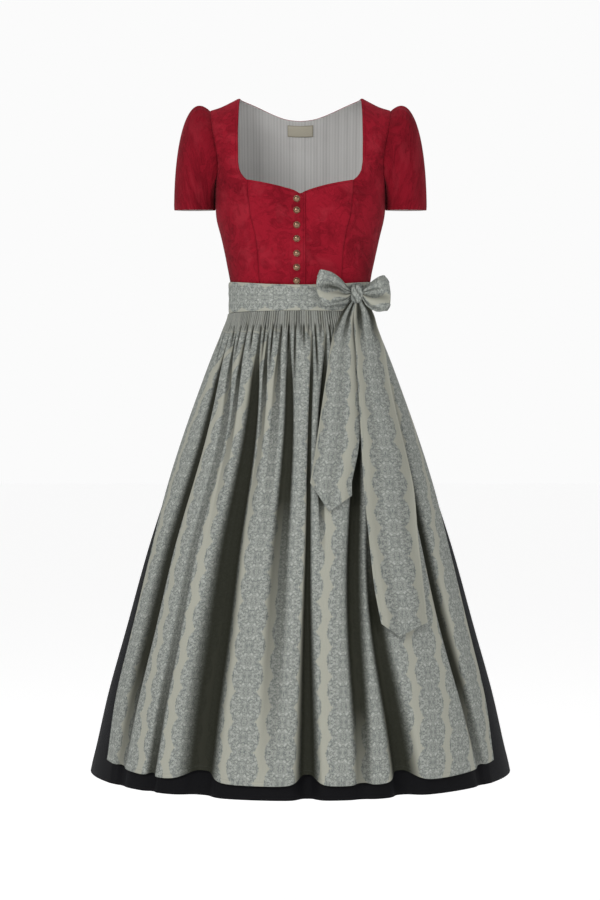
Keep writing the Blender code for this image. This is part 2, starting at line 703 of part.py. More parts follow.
def build_skirt_front():
    rows = [skirt_front_row(h) for h in (SKIRT_TOP,) + SHIRRING_ROWS + APRON_ROWS + (SKIRT_HEM,)]
    # the hem is stiffer than the cloth above, so its folds are flatter
    hem = rows[-1]
    turn = np.arctan2(hem[:, 0] / SKIRT_SECTIONS[0, 1], -hem[:, 1] / SKIRT_SECTIONS[0, 2])
    hem[:, 2] = SKIRT_HEM
    flat = np.stack([SKIRT_SECTIONS[0, 1] * np.sin(turn), -SKIRT_SECTIONS[0, 2] * np.cos(turn), hem[:, 2]], axis=1)
    rows[-1] = hem * 0.8 + flat * 0.2
    return wall("skirt_front", np.array(rows), SKIRT_WALL, "skirt_cloth")


def build_skirt_back():
    """The back breadth, gathered into the waist seam."""
    limit = 90 + math.degrees(SEAM_GAP / 0.14)
    rows = []
    for height in (SKIRT_TOP, -0.4045, -0.4235) + SHIRRING_ROWS[2:] + APRON_ROWS + (SKIRT_HEM,):
        turn = anchored_turns(height, (limit, 360 - limit), BACK_FOLDS, BACK_COLUMNS)
        pleats = np.where(np.arange(len(turn)) % 2 == 0, 1.0, -1.0) * SKIRT_PLEAT_DEEP
        pleats = pleats * ease((height + 0.50) / 0.04) * np.sin(np.radians(turn - 90)) ** 0.5
        rows.append(skirt_point(turn, height, pleats))
    return wall("skirt_back", np.array(rows), SKIRT_WALL, "skirt_cloth")


def apron_rows():
    """Rows with one fine gather to each column over the shirring, and plain rows below it."""
    fine = []
    for height in SHIRRING_ROWS:
        turn = apron_turns(height)
        halves = np.sort(np.concatenate([turn, (turn[1:] + turn[:-1]) / 2]))
        zigzag = np.where(np.arange(len(halves)) % 2 == 0, 1, -1) * GATHER_HIGH
        fine.append(skirt_point(halves, height, APRON_OFF_SKIRT - 0.001 + zigzag))
    coarse = []
    for height in APRON_ROWS:
        turn = apron_turns(height)
        coarse.append(skirt_point(turn, height + hem_lift(turn, height), APRON_OFF_SKIRT))
    return fine, coarse


def build_apron():
    """The apron: a wall with fine gathers above and soft folds below, each fine pair of columns meeting one below."""
    fine, coarse = apron_rows()
    fine_in = -grid_normals(np.array(fine))
    coarse_in = -grid_normals(np.array([fine[-1][::2]] + coarse))[1:]
    faces_in = list(fine_in) + list(coarse_in)
    rows = fine + coarse
    starts = np.concatenate([[0], np.cumsum([len(r) for r in rows])])
    under = int(starts[-1])
    points = np.concatenate(rows + [r + n * APRON_WALL for r, n in zip(rows, faces_in)])
    faces = []

    def both(face):
        for half in halves(face, points):
            faces.append(half)
            faces.append(tuple(under + q for q in reversed(half)))

    for i in range(len(rows) - 1):
        a, b = int(starts[i]), int(starts[i + 1])
        if len(rows[i]) == len(rows[i + 1]):
            for c in range(len(rows[i]) - 1):
                both((a + c, a + c + 1, b + c + 1, b + c))
        else:
            for c in range(len(rows[i + 1]) - 1):
                top = a + 2 * c
                both((top, top + 1, b + c))
                both((top + 1, b + c + 1, b + c))
                both((top + 1, top + 2, b + c + 1))
        for p, q in ((a, b), (int(starts[i + 1]) - 1, int(starts[i + 2]) - 1)):
            rim = (p, q, under + q, under + p)
            faces.append(rim if p == a else rim[::-1])
    for c in range(len(rows[0]) - 1):
        faces.append((c + 1, c, under + c, under + c + 1))
    low = int(starts[-2])
    for c in range(len(rows[-1]) - 1):
        faces.append((low + c, low + c + 1, under + low + c + 1, under + low + c))
    return add_piece("apron", points, faces, "apron_cloth")


def build_band():
    """The apron's waistband and ties, one ring round the waist."""
    turn = np.arange(BAND_COLUMNS) * 2 * math.pi / BAND_COLUMNS
    front = np.clip(np.cos(turn), 0, None) ** 2
    deep = np.where(np.cos(turn) > 0, BAND_FRONT, BAND_BACK)
    rows = []
    for share, bulge in ((0.0, -0.0006), (0.33, 0.0), (0.67, 0.0), (1.0, -0.0004)):
        high = (BAND_TOP - BAND_DIP * front) * share + (BAND_BOTTOM - BAND_LOW_DIP * front) * (1 - share)
        x = (BAND_HALF_WIDTH + bulge) * np.sign(np.sin(turn)) * np.abs(np.sin(turn)) ** (2 / 2.1)
        y = -(deep + bulge) * np.sign(np.cos(turn)) * np.abs(np.cos(turn)) ** (2 / 2.1)
        rows.append(np.stack([x, y, high], axis=1))
    grid = np.array(rows)
    inward = -grid / np.linalg.norm(grid * (1, 1, 0), axis=2, keepdims=True)
    inward[:, :, 2] = 0
    return wall("apron_band", grid, BAND_WALL, "apron_cloth", around=True, inward=inward)


# The bow
def build_knot():
    """The knot, a wrapped lump with a few creases."""
    sides, rings = 16, 8
    points = [KNOT - (0, 0, KNOT_R[2])]
    for r in range(1, rings):
        lat = math.pi * r / rings - math.pi / 2
        for s in range(sides):
            lon = 2 * math.pi * s / sides
            crease = 1 - 0.06 * math.cos(3 * lon + 2 * lat)
            way = np.array((math.cos(lat) * math.cos(lon), math.cos(lat) * math.sin(lon), math.sin(lat)))
            points.append(KNOT + way * KNOT_R * crease)
    points.append(KNOT + (0, 0, KNOT_R[2]))
    faces = [(0, 1 + (s + 1) % sides, 1 + s) for s in range(sides)]
    for r in range(rings - 2):
        a, b = 1 + r * sides, 1 + (r + 1) * sides
        faces += [(a + s, a + (s + 1) % sides, b + (s + 1) % sides, b + s) for s in range(sides)]
    top, last = len(points) - 1, 1 + (rings - 2) * sides
    faces += [(last + s, last + (s + 1) % sides, top) for s in range(sides)]
    return add_piece("bow_knot", points, faces, "apron_cloth")


def build_loop(name, reach, knot_high, tip_high, swell):
    """One loop of the bow: a band that leaves the knot, turns at the tip and comes back behind."""
    reach = np.array(reach)
    long = np.linalg.norm(reach)
    ahead = reach / long
    sideways = np.cross(ahead, (0, 0, 1.0))
    sideways /= np.linalg.norm(sideways)
    if sideways[1] > 0:
        sideways = -sideways
    start = KNOT + ahead * (KNOT_R[0] + SEAM_GAP)
    long -= KNOT_R[0]
    columns, rows = 21, 6
    turn = np.linspace(-0.9 * math.pi, 0.9 * math.pi, columns)
    # a teardrop in plan, narrow at the knot and round at the tip
    out = (1 + np.cos(turn)) / 2
    near = out[0]
    out = (out - near) / (1 - near)
    side = np.sin(turn) * swell * (0.60 + 0.40 * out)
    grid = np.zeros((rows, columns, 3))
    for r in range(rows):
        share = r / (rows - 1) - 0.5
        high = knot_high + (tip_high - knot_high) * np.sin(np.minimum(out * 1.25, 1) * math.pi / 2) ** 0.9
        bow_in = 1 - 0.10 * (2 * share) ** 2 * out  # the tip's edge is rounded
        crease = -0.004 * np.exp(-((share / 0.16) ** 2)) * np.sin(math.pi * np.clip(out * 1.1, 0, 1))
        grid[r] = (
            start
            + ahead * (out * long * bow_in)[:, None]
            + sideways * (side + np.sign(side) * crease)[:, None]
            + np.array((0, 0, 1.0)) * (share * high)[:, None]
        )
    return wall(name, grid, BOW_WALL, "apron_cloth")


def envelope_y(x, height, out):
    """Depth of the front face over the folds, at a distance from the middle and a height."""
    half, front = (smooth_at(height, SKIRT_SECTIONS[:, 0], SKIRT_SECTIONS[:, k]) for k in (1, 2))
    return -(front + out) * np.sqrt(np.clip(1 - (x / (half + out)) ** 2, 0, 1))


def build_tail(name, off, point, rows):
    """A tail of the bow, hanging over the apron and ending in a point."""
    columns = TAIL_COLUMNS
    share = np.linspace(0, 1, columns + 1)
    grid = []
    off_skirt = APRON_OFF_SKIRT + off
    for height, left, right in rows:
        x = left + (right - left) * share
        narrow = ease((height + 0.50) / 0.08)
        ripple = 0.0035 * np.cos(share * 2 * math.pi * 1.5) * (0.35 + 0.65 * narrow)
        ripple = ripple * min(1, (right - left) / 0.050) ** 2
        below_knot = ease((height + 0.46) / 0.058)
        y = envelope_y(x, height, off_skirt) * (1 - below_knot) + KNOT[1] * below_knot - ripple
        y = np.minimum(y, envelope_y(x, height, APRON_OFF_SKIRT + 0.0055))
        grid.append(np.stack([x, y, np.full_like(x, height)], axis=1))
    left, right = rows[-1, 1], rows[-1, 2]
    x = left + (right - left) * share
    to_point = np.interp(x, [left, point[0], right], [0.0, 1.0, 0.0])
    deepest = point[1] - rows[-1, 0]
    height = rows[-1, 0] - 0.004 + (deepest + 0.004) * to_point
    ripple = 0.0035 * np.cos(share * 2 * math.pi * 1.5) * 0.35
    y = envelope_y(x, height, off_skirt) - ripple
    grid.append(np.stack([x, y, height], axis=1))
    return wall(name, np.array(grid), BOW_WALL, "apron_cloth")


def main():
    for old in list(bpy.data.objects):
        bpy.data.objects.remove(old, do_unlink=True)
    for side in (-1, 1):
        build_front_centre(side)
        build_front_side(side)
        build_sleeve(side)
    build_back()
    build_label()
    build_buttons()
    build_skirt_front()
    build_skirt_back()
    build_apron()
    build_band()
    build_knot()
    for name, sizes in LOOPS.items():
        build_loop(name, **sizes)
    for name, sizes in TAILS.items():
        build_tail(name, **sizes)


main()
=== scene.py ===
"""The looks of a dirndl: its cloth, gathers, folds, buttons and bow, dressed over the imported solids.

It is laid out as a Blender add-on and run as a script. Every size is in metres, +Z up, the front looks along -Y.
"""

import math

import bpy
import numpy as np
from bpy.props import FloatProperty, FloatVectorProperty, IntProperty, PointerProperty
from bpy.types import Operator, Panel, PropertyGroup
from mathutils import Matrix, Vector


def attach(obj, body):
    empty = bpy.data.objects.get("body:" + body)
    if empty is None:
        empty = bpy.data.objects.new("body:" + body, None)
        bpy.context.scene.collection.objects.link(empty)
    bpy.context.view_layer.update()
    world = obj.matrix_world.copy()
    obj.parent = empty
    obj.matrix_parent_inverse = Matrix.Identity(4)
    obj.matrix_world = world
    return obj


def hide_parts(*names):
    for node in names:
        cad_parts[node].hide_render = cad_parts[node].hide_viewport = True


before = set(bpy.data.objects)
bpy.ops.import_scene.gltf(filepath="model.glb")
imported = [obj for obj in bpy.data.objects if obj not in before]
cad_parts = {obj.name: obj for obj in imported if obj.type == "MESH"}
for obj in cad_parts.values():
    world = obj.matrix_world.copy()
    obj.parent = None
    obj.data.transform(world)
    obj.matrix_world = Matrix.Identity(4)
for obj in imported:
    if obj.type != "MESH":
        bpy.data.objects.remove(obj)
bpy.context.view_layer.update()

bl_info = {
    "name": "Dirndl",
    "version": (1, 0, 0),
    "blender": (4, 5, 0),
    "location": "View3D > Sidebar > Dirndl",
    "description": "Dresses the solids of a dirndl in velvet, jacquard and wool",
    "category": "Add Mesh",
}

SIDES = {-1: "right", 1: "left"}
# Form of the bodice, the same numbers as its solids: level, half width, front depth, back depth, squareness
BODICE_SECTIONS = np.array([
    (-0.4, 0.138, 0.1, 0.088, 2.15), (-0.381, 0.137, 0.099, 0.087, 2.15), (-0.35, 0.141, 0.104, 0.089, 2.2),
    (-0.31, 0.149, 0.113, 0.093, 2.25), (-0.27, 0.1575, 0.121, 0.098, 2.3), (-0.225, 0.168, 0.1255, 0.102, 2.4),
    (-0.18, 0.1705, 0.121, 0.105, 2.6), (-0.13, 0.1715, 0.111, 0.104, 3), (-0.08, 0.1765, 0.101, 0.1, 3.3),
    (-0.04, 0.183, 0.096, 0.094, 3.5), (0.013, 0.1915, 0.094, 0.088, 3.5),
])
# Distance from the middle, height
SHOULDER_LINE = np.array([(0, 0.013), (0.118, 0.013), (0.138, 0.003), (0.158, -0.0065), (0.184, -0.014)])
# Level, distance of the princess seam and the front neck edge from the middle
FRONT_INNER_EDGE = np.array([
    (-0.4, 0.08), (-0.361, 0.081), (-0.302, 0.084), (-0.267, 0.0895), (-0.233, 0.0985), (-0.186, 0.1035),
    (-0.1635, 0.104), (-0.158, 0.111), (-0.15, 0.117), (-0.142, 0.1205), (-0.128, 0.1226), (-0.08, 0.123),
    (-0.02, 0.1222), (0.013, 0.121),
])
# Distance from the middle, level of the front neckline and of the back neckline
SWEETHEART = np.array([
    (-0.02, -0.185), (0, -0.193), (0.012, -0.1868), (0.03, -0.1805), (0.065, -0.1715), (0.104, -0.1635),
])
BACK_NECK = np.array([(0, -0.022), (0.033, -0.02), (0.066, -0.012), (0.1, 0.002), (0.121, 0.013)])
# Level, depth of the armhole's edge as a share of the section's depth
ARMHOLE = np.array([
    (-0.17, 0), (-0.166, 0.23), (-0.15, 0.43), (-0.12, 0.53), (-0.09, 0.56), (-0.06, 0.57), (-0.03, 0.59),
    (-0.01, 0.6), (0.005, 0.61), (0.013, 0.62),
])
SHOULDER_TOP, SHOULDER_ROLL, UNDERARM, BODICE_BOTTOM = 0.013, 0.105, -0.170, -0.385
CUP_OUT, CUP_X, CUP_Z, CUP_WIDE, CUP_HIGH = 0.008, 0.085, -0.225, 0.045, 0.060
LAP_EDGE, LAP_STEP, UNDERLAP_EDGE = 0.010, 0.0024, -0.012
NECK_HALF_WIDTH, SEAM_GAP = 0.121, 0.0003
# How deep and how wide a sewn edge rolls in
PRINCESS_ROLL, SIDE_ROLL, NECK_ROLL, LAP_ROLL, DART_ROLL = (
    (0.0014, 0.004), (0.0010, 0.0035), (0.0006, 0.002), (0.0008, 0.002), (0.0010, 0.004))
# The cloth's soft unevenness, and the shade in seams, at the sides, on the sleeves and at their heads
CLOTH_UNREST, SEAM_SHADE, SIDE_SHADE, HEAD_SHADE = 0.0004, 0.34, 0.36, 0.45
SEAM_SHADE_WIDE, HEAD_SHADE_WIDE = 0.0012, 0.0022
LINING_WALL, LINING_HANG = 0.0006, 0.0028
LABEL_HALF_WIDTH, LABEL_BOTTOM, LABEL_HIGH, LABEL_HANG = 0.026, -0.0510, 0.0220, 0.0052
SLEEVE_COLUMNS = 240
# Sleeve hem: distance from the middle, half width, half depth, level, rise towards the back
CUFF_X, CUFF_WIDE, CUFF_DEEP, CUFF_LEVEL, CUFF_RISE = 0.2112, 0.0414, 0.060, -0.2172, 0.0055
BUTTON_X = -0.0072
BUTTON_LEVELS = (-0.2037, -0.2257, -0.2537, -0.2797, -0.3077, -0.3342, -0.3602)
BUTTON_STEPS = (0.0001, 0.0001, 0.0001, 0.0004, 0.0009, 0.0009, 0.0009)

# Skirt: height, half width, front depth, back depth of its outer face
SKIRT_SECTIONS = np.array([
    (-1.327, 0.418, 0.4, 0.4), (-1.281, 0.407, 0.39, 0.39), (-1.175, 0.383, 0.365, 0.366),
    (-1.049, 0.348, 0.331, 0.332), (-0.871, 0.2985, 0.281, 0.28), (-0.759, 0.262, 0.245, 0.242),
    (-0.683, 0.2355, 0.217, 0.212), (-0.59, 0.2025, 0.178, 0.17), (-0.5, 0.169, 0.138, 0.127),
    (-0.457, 0.1515, 0.118, 0.106), (-0.424, 0.139, 0.1035, 0.0925), (-0.3853, 0.137, 0.099, 0.087),
])
FOLD_LEVELS = np.array((-1.30, -0.90, -0.60, -0.46))
# Folds: turn from the middle front in degrees, half width and depth in millimetres, at the four fold levels
FRONT_FOLDS = (
    ((-55.5, -58.5, -58.5, -65), (15, 20, 12, 5), (6, 25, 16, 6)),
    ((-42.5, -42, -43, -55), (10, 9, 9, 4), (9, 4, 5, 6)),
    ((-33, -35, -37, -43.5), (8, 8, 6, 4), (0, 0, 4, 6)),
    ((-28, -27.5, -27, -31), (32, 27, 13, 4), (32, 30, 20, 6)),
    ((-19, -20, -20, -24), (9, 8, 6, 4), (0, 0, 4, 6)),
    ((-13, -13, -13, -14.5), (9, 8, 8, 4), (0, 0, 4, 6)),
    ((-8.5, -7.4, -6, -8), (14, 16, 9, 4), (0, 11, 13, 6)),
    ((1.8, 2.6, 5.4, 8.6), (18, 5.5, 3.6, 3.5), (31, 16, 9, 6)),
    ((7, 7.5, 11.8, 19), (8, 5, 6, 4), (0, 0, 11, 6)),
    ((16, 19.5, 30, 33), (14, 15, 9, 4), (7, 24, 12, 6)),
    ((28.5, 26, 38, 42), (24, 12, 8, 4), (32, 10, 5, 5)),
    ((56, 53.5, 60.5, 68), (14, 13, 9, 5), (6, 20, 12, 6)),
)
BACK_FOLDS = (
    ((101, 100, 99, 98), (20, 15, 8, 5), (18, 14, 9, 3)),
    ((119, 118, 116, 114), (16, 12, 8, 5), (12, 16, 10, 4)),
    ((136, 134, 132, 129), (24, 16, 9, 5), (26, 20, 12, 4)),
    ((155, 153, 150, 147), (18, 13, 8, 5), (14, 15, 10, 4)),
    ((171, 171, 168, 165), (16, 11, 7, 5), (10, 14, 9, 4)),
    ((189, 188, 186, 183), (26, 16, 9, 5), (28, 22, 13, 4)),
    ((209, 208, 207, 203), (18, 13, 8, 5), (14, 16, 9, 4)),
    ((228, 226, 226, 224), (22, 15, 8, 5), (22, 18, 11, 4)),
    ((245, 244, 245, 243), (16, 12, 8, 5), (10, 13, 10, 4)),
    ((260, 260, 260, 261), (20, 15, 8, 5), (18, 15, 9, 3)),
)
FRONT_COLUMNS = (6, 4, 3, 4, 3, 4, 4, 4, 3, 5, 4, 7, 7)
BACK_COLUMNS = (3, 4, 4, 4, 4, 4, 4, 4, 4, 4, 3)
SKIRT_TOP, SKIRT_HEM = -0.3855, -1.327
APRON_TOP, SHIRRING_BOTTOM, APRON_HEM = -0.4195, -0.448, -1.301
# How far the hem rises at the apron's corners, and as a share of its folds' depth
CORNER_LIFT, FOLD_LIFT, APRON_FOLD_LIFT = 0.017, 0.30, 0.26
# The skirt draws in under the apron, more where the apron starts
UNDER_APRON, UNDER_SHIRRING, STIFF_HEM = 0.0022, 0.0022, 0.2
# The apron's edge: height, turn from the middle front in degrees
APRON_EDGE = np.array([
    (-1.301, 63.5), (-1.175, 67), (-1.049, 68.4), (-0.96, 69.2), (-0.871, 71), (-0.759, 77.5), (-0.6, 87),
    (-0.4195, 89),
])
# Short darts where the shirring lets go: turn in degrees, depth in millimetres, length in millimetres
TOP_DARTS = (
    (-81, 3.0, 60), (-73, 3.4, 90), (-66, 3.0, 50), (-59, 3.2, 60), (-50, 3.4, 90), (-44, 3.8, 110), (-37.6, 4.2, 70),
    (-31.5, 3.2, 60), (-27, 3.4, 110), (-20.5, 4.2, 120), (-18, 2.4, 40), (-14.6, 3.4, 60), (-8.7, 4.0, 120),
    (-3.8, 4.0, 150), (0.5, 2.6, 40), (2.6, 3.4, 60), (6, 2.6, 45), (11, 4.2, 140), (15, 2.6, 40), (22.2, 4.0, 90),
    (25, 2.6, 45), (28, 3.4, 80), (37, 3.2, 70), (46, 3.4, 100), (52, 2.8, 60), (58, 3.2, 90), (64, 2.8, 50),
    (74, 3.2, 90), (82, 2.8, 60),
)

BAND_HALF_WIDTH, BAND_FRONT, BAND_BACK = 0.1440, 0.1080, 0.0965
BAND_WALL, BOW_WALL, TAIL_WALL = 0.0020, 0.0012, 0.0011
BAND_TOP, BAND_BOTTOM, BAND_DIP, BAND_LOW_DIP = -0.3570, -0.4185, 0.0115, 0.0005
KNOT = np.array((0.1105, -0.0866, -0.3850))
KNOT_R = np.array((0.0125, 0.0120, 0.0180))
# Loops, drawn from the front: share of the way, distance from the middle, height
LOOPS = {
    "bow_loop_right": dict(
        depth=-0.044, swell=0.0125, crease=(0.54, 0.0062),
        top=((0, 0.0985, -0.3765), (0.12, 0.0935, -0.3725), (0.4, 0.0774, -0.356), (0.68, 0.0595, -0.3453),
             (1, 0.0389, -0.3409)),
        bottom=((0, 0.0985, -0.39), (0.15, 0.091, -0.3975), (0.48, 0.0738, -0.4062), (1, 0.047, -0.4124)),
        tip=((0, 0.047, -0.4124), (0.4, 0.0326, -0.3848), (0.62, 0.0309, -0.3669), (1, 0.0389, -0.3409)),
    ),
    "bow_loop_left": dict(
        depth=0.014, swell=0.0135, crease=(0.40, 0.0034),
        top=((0, 0.121, -0.3785), (0.3, 0.1364, -0.3634), (0.62, 0.1507, -0.3527), (1, 0.1632, -0.347)),
        bottom=((0, 0.121, -0.391), (0.25, 0.13, -0.408), (0.5, 0.1453, -0.4185), (1, 0.169, -0.418)),
        tip=((0, 0.169, -0.418), (0.15, 0.175, -0.409), (0.4, 0.1775, -0.3884), (0.6, 0.1766, -0.3759),
             (0.85, 0.1721, -0.3581), (1, 0.1632, -0.347)),
    ),
}
TAIL_PATTERN_WIDE = 0.086
# Tails: height, wearer's right edge, wearer's left edge, from the knot down
TAILS = {
    "bow_tail_right": dict(
        off=0.0075, point=(0.054, -0.806), ridges=2.2, phase=2.4, plain=0.80, slant=0.45, rows=np.array([
            (-0.396, 0.101, 0.112), (-0.41, 0.09, 0.111), (-0.425, 0.08, 0.11), (-0.455, 0.067, 0.111),
            (-0.5, 0.057, 0.113), (-0.56, 0.048, 0.115), (-0.62, 0.039, 0.114), (-0.68, 0.03, 0.1115),
            (-0.752, 0.0185, 0.097),
        ])),
    "bow_tail_left": dict(
        off=0.0125, point=(0.184, -1.037), ridges=1.7, phase=0.4, plain=0.10, slant=0.1, rows=np.array([
            (-0.388, 0.1115, 0.1215), (-0.402, 0.107, 0.126), (-0.415, 0.105, 0.138), (-0.425, 0.1045, 0.144),
            (-0.4508, 0.1052, 0.153), (-0.4866, 0.1075, 0.165), (-0.53, 0.1095, 0.171), (-0.6, 0.113, 0.183),
            (-0.68, 0.116, 0.201), (-0.76, 0.12, 0.217), (-0.86, 0.129, 0.224), (-0.96, 0.14, 0.234),
            (-1.012, 0.15, 0.239),
        ])),
}
CAMERA_X, FLOOR_LEVEL = -0.0008, -1.72


# Settings that a user would change
class BodiceSettings(PropertyGroup):
    wall: FloatProperty(name="Wall", description="Thickness of the velvet", default=0.0018, min=0.0005, unit="LENGTH")
    colour: FloatVectorProperty(name="Velvet", description="Ground colour of the velvet", subtype="COLOR",
                                default=(0.222, 0.0064, 0.0160), min=0, max=1)
    scroll: FloatVectorProperty(name="Scrolls", description="Colour of the scrolls in the velvet", subtype="COLOR",
                                default=(0.092, 0.0018, 0.0058), min=0, max=1)
    # sheen painted into the velvet's colour, in patches where the pile stands up
    pile_sheen: FloatVectorProperty(name="Pile sheen", description="Colour of the sheen painted where the pile stands up", subtype="COLOR",
                               default=(0.290, 0.0200, 0.0320), min=0, max=1)
    lining: FloatVectorProperty(name="Lining", description="Colour of the lining", subtype="COLOR",
                                default=(0.520, 0.512, 0.500), min=0, max=1)
    label: FloatVectorProperty(name="Label", description="Colour of the blank label", subtype="COLOR",
                               default=(0.390, 0.360, 0.285), min=0, max=1)


class SleeveSettings(PropertyGroup):
    wall: FloatProperty(name="Wall", description="Thickness of the sleeve's cloth", default=0.0016, min=0.0005,
                        unit="LENGTH")
    gathers: IntProperty(name="Gathers", description="Gathers round the sleeve head", default=26, min=4)
    gather_deep: FloatProperty(name="Gather depth", description="How far a gather stands out", default=0.0010,
                               min=0, unit="LENGTH")


class ButtonSettings(PropertyGroup):
    radius: FloatProperty(name="Radius", description="Radius of a button", default=0.0067, min=0.002, unit="LENGTH")
    colour: FloatVectorProperty(name="Metal", description="Colour of the raised metal", subtype="COLOR",
                                default=(0.440, 0.285, 0.185), min=0, max=1)


class SkirtSettings(PropertyGroup):
    wall: FloatProperty(name="Wall", description="Thickness of the skirt's cloth", default=0.0013, min=0.0005,
                        unit="LENGTH")
    colour: FloatVectorProperty(name="Cloth", description="Colour of the skirt", subtype="COLOR",
                                default=(0.0028, 0.0028, 0.0036), min=0, max=1)


class ApronSettings(PropertyGroup):
    wall: FloatProperty(name="Wall", description="Thickness of the apron's cloth", default=0.0010, min=0.0004,
                        unit="LENGTH")
    off_skirt: FloatProperty(name="Off the skirt", description="How far its face stands off the skirt's",
                             default=0.0065, min=0.003, unit="LENGTH")
    gathers: IntProperty(name="Gathers", description="Fine gathers in the shirring", default=96, min=20)
    gather_deep: FloatProperty(name="Gather depth", description="Half the depth of a fine gather", default=0.0011,
                               min=0, unit="LENGTH")
    stripe: FloatProperty(name="Stripe repeat", description="Width of one motif column and one plain stripe",
                          default=0.0720, min=0.01, unit="LENGTH")
    ground: FloatVectorProperty(name="Ground", description="Colour of the plain stripes", subtype="COLOR",
                                default=(0.338, 0.340, 0.288), min=0, max=1)
    motif: FloatVectorProperty(name="Motif", description="Blue-grey thread of the woven motifs", subtype="COLOR",
                               default=(0.118, 0.140, 0.148), min=0, max=1)


class StageSettings(PropertyGroup):
    camera_away: FloatProperty(name="Camera distance", description="From the camera to the dress", default=4.2,
                               min=1, unit="LENGTH")
    camera_level: FloatProperty(name="Camera level", description="Height of the camera", default=-0.691,
                                unit="LENGTH")
    lens: FloatProperty(name="Lens", description="Focal length in millimetres", default=84.0, min=20)
    ambient: FloatProperty(name="Ambient", description="Brightness of the room round the dress", default=0.42, min=0)


class DirndlSettings(PropertyGroup):
    bodice: PointerProperty(type=BodiceSettings)
    sleeve: PointerProperty(type=SleeveSettings)
    button: PointerProperty(type=ButtonSettings)
    skirt: PointerProperty(type=SkirtSettings)
    apron: PointerProperty(type=ApronSettings)
    stage: PointerProperty(type=StageSettings)


# Curves and grids
def ease(t):
    """0 before 0, 1 after 1, and smooth between."""
    t = np.clip(t, 0.0, 1.0)
    return t * t * (3 - 2 * t)


def hump(t):
    """1 at 0, falling away to both sides."""
    return np.exp(-(t**2))


def smooth_at(places, knots, values):
    """A smooth curve through knots and values, read at the given places."""
    knots, values = np.asarray(knots, float), np.asarray(values, float)
    slopes = np.gradient(values, knots)
    places = np.clip(np.asarray(places, float), knots[0], knots[-1])
    i = np.clip(np.searchsorted(knots, places) - 1, 0, len(knots) - 2)
    span = knots[i + 1] - knots[i]
    t = (places - knots[i]) / span
    bend = (slopes[i] * (1 - t) - slopes[i + 1] * t) * span * t * (1 - t)
    return values[i] * (1 - ease(t)) + values[i + 1] * ease(t) + bend


def read(table, place, column=1):
    """One column of a table as a smooth curve along its first."""
    return smooth_at(place, table[:, 0], table[:, column])


def unrest(u, v, size, seed):
    """A soft unevenness between about -1 and 1, from a few crossing waves."""
    total = 0
    for k in range(5):
        way = 2.399963 * (k + 1) + seed
        wave = 2 * math.pi / (size * (0.7 + 0.23 * k))
        total = total + np.sin((u * math.cos(way) + v * math.sin(way)) * wave + 1.7 * seed + 2.1 * k)
    return total / 3.0


def unit(vectors):
    return vectors / np.maximum(np.linalg.norm(vectors, axis=-1, keepdims=True), 1e-12)


def grid_normals(grid, around=False):
    """Unit normals of a grid of points, rows first."""
    across = np.roll(grid, -1, axis=1) - np.roll(grid, 1, axis=1) if around else np.gradient(grid, axis=1)
    return unit(np.cross(across, np.gradient(grid, axis=0)))


def facing(grid, towards, around=False):
    """Unit normals on the side of a grid that a rough direction names."""
    normals = grid_normals(grid, around)
    return normals if (normals * towards).sum() > 0 else -normals


def run_along(grid, axis):
    """Distance from the start along the rows or columns of a grid of points."""
    steps = np.linalg.norm(np.diff(grid, axis=axis), axis=-1)
    return np.insert(np.cumsum(steps, axis=axis), 0, 0, axis=axis)


def pair(u, v):
    """Cloth coordinates from two grids of numbers."""
    return np.stack(np.broadcast_arrays(u, v), axis=-1)


# Sheets of cloth
def mesh_object(name, points, faces):
    mesh = bpy.data.meshes.new(name)
    mesh.from_pydata(points.tolist(), [], faces)
    piece = bpy.data.objects.new(name, mesh)
    bpy.context.scene.collection.objects.link(piece)
    return piece


def wall(name, outer, thickness, inward, uv, finish, inside=None, around=False, **stored):
    """A shell of cloth between a grid of points and the same grid moved in.

    uv holds the cloth's own coordinates. Stored values are fold, how much painted shade the cloth gets, 1 in deep
    folds, edge, the distance to a sewn edge, and gather, 1 on fine shirring.
    """
    rows, columns = outer.shape[:2]
    r, c = np.arange(rows - 1), np.arange(columns if around else columns - 1)
    y, x = (k.ravel() for k in np.meshgrid(r, c, indexing="ij"))
    zeros, top, end, rim = (0,) * 4, (rows - 1,) * 4, (columns - 1,) * 4, (0, 0, 1, 1)
    # the row, column and layer of each face's corners: outer face, inner face, then the rims
    groups = [
        (y, (y, y, y + 1, y + 1), (x, x + 1, x + 1, x), zeros),
        (y, (y + 1, y + 1, y, y), (x, x + 1, x + 1, x), (1,) * 4),
        (c, zeros, (c + 1, c, c, c + 1), rim),
        (c, top, (c, c + 1, c + 1, c), rim),
    ]
    if not around:
        groups += [(r, (r, r + 1, r + 1, r), zeros, rim), (r, (r + 1, r, r, r + 1), end, rim)]
    faces, face_uv = [], []
    for like, *corners in groups:
        row, column, layer = (np.stack([k + 0 * like for k in corner], axis=1) for corner in corners)
        faces.append((layer * rows + row) * columns + column % columns)
        face_uv.append(uv[row, column])
    faces = np.concatenate(faces)
    points = np.concatenate([outer.reshape(-1, 3), (outer + inward * thickness).reshape(-1, 3)])
    piece = mesh_object(name, points, faces.tolist())
    mesh = piece.data
    mesh.uv_layers.new(name="cloth").data.foreach_set("uv", np.concatenate(face_uv).ravel().astype(np.float32))
    for label, usual in (("fold", 0.0), ("edge", 1.0), ("gather", 0.0)):
        values = np.zeros((rows, columns)) + stored.get(label, usual)
        mesh.attributes.new(label, "FLOAT", "POINT").data.foreach_set(
            "value", np.tile(values.ravel(), 2).astype(np.float32))
    middle = mesh.polygons[len(y) // 2]
    if np.dot(np.array(middle.normal), inward.reshape(-1, 3)[middle.vertices[0]]) > 0:
        mesh.flip_normals()
    mesh.materials.append(finish)
    mesh.materials.append(inside or finish)
    index = np.zeros(len(faces), np.int32)
    index[len(y):2 * len(y)] = 1
    mesh.polygons.foreach_set("material_index", index)
    mesh.shade_smooth()
    mesh.set_sharp_from_angle(angle=math.radians(60))
    mesh.update()
    return piece


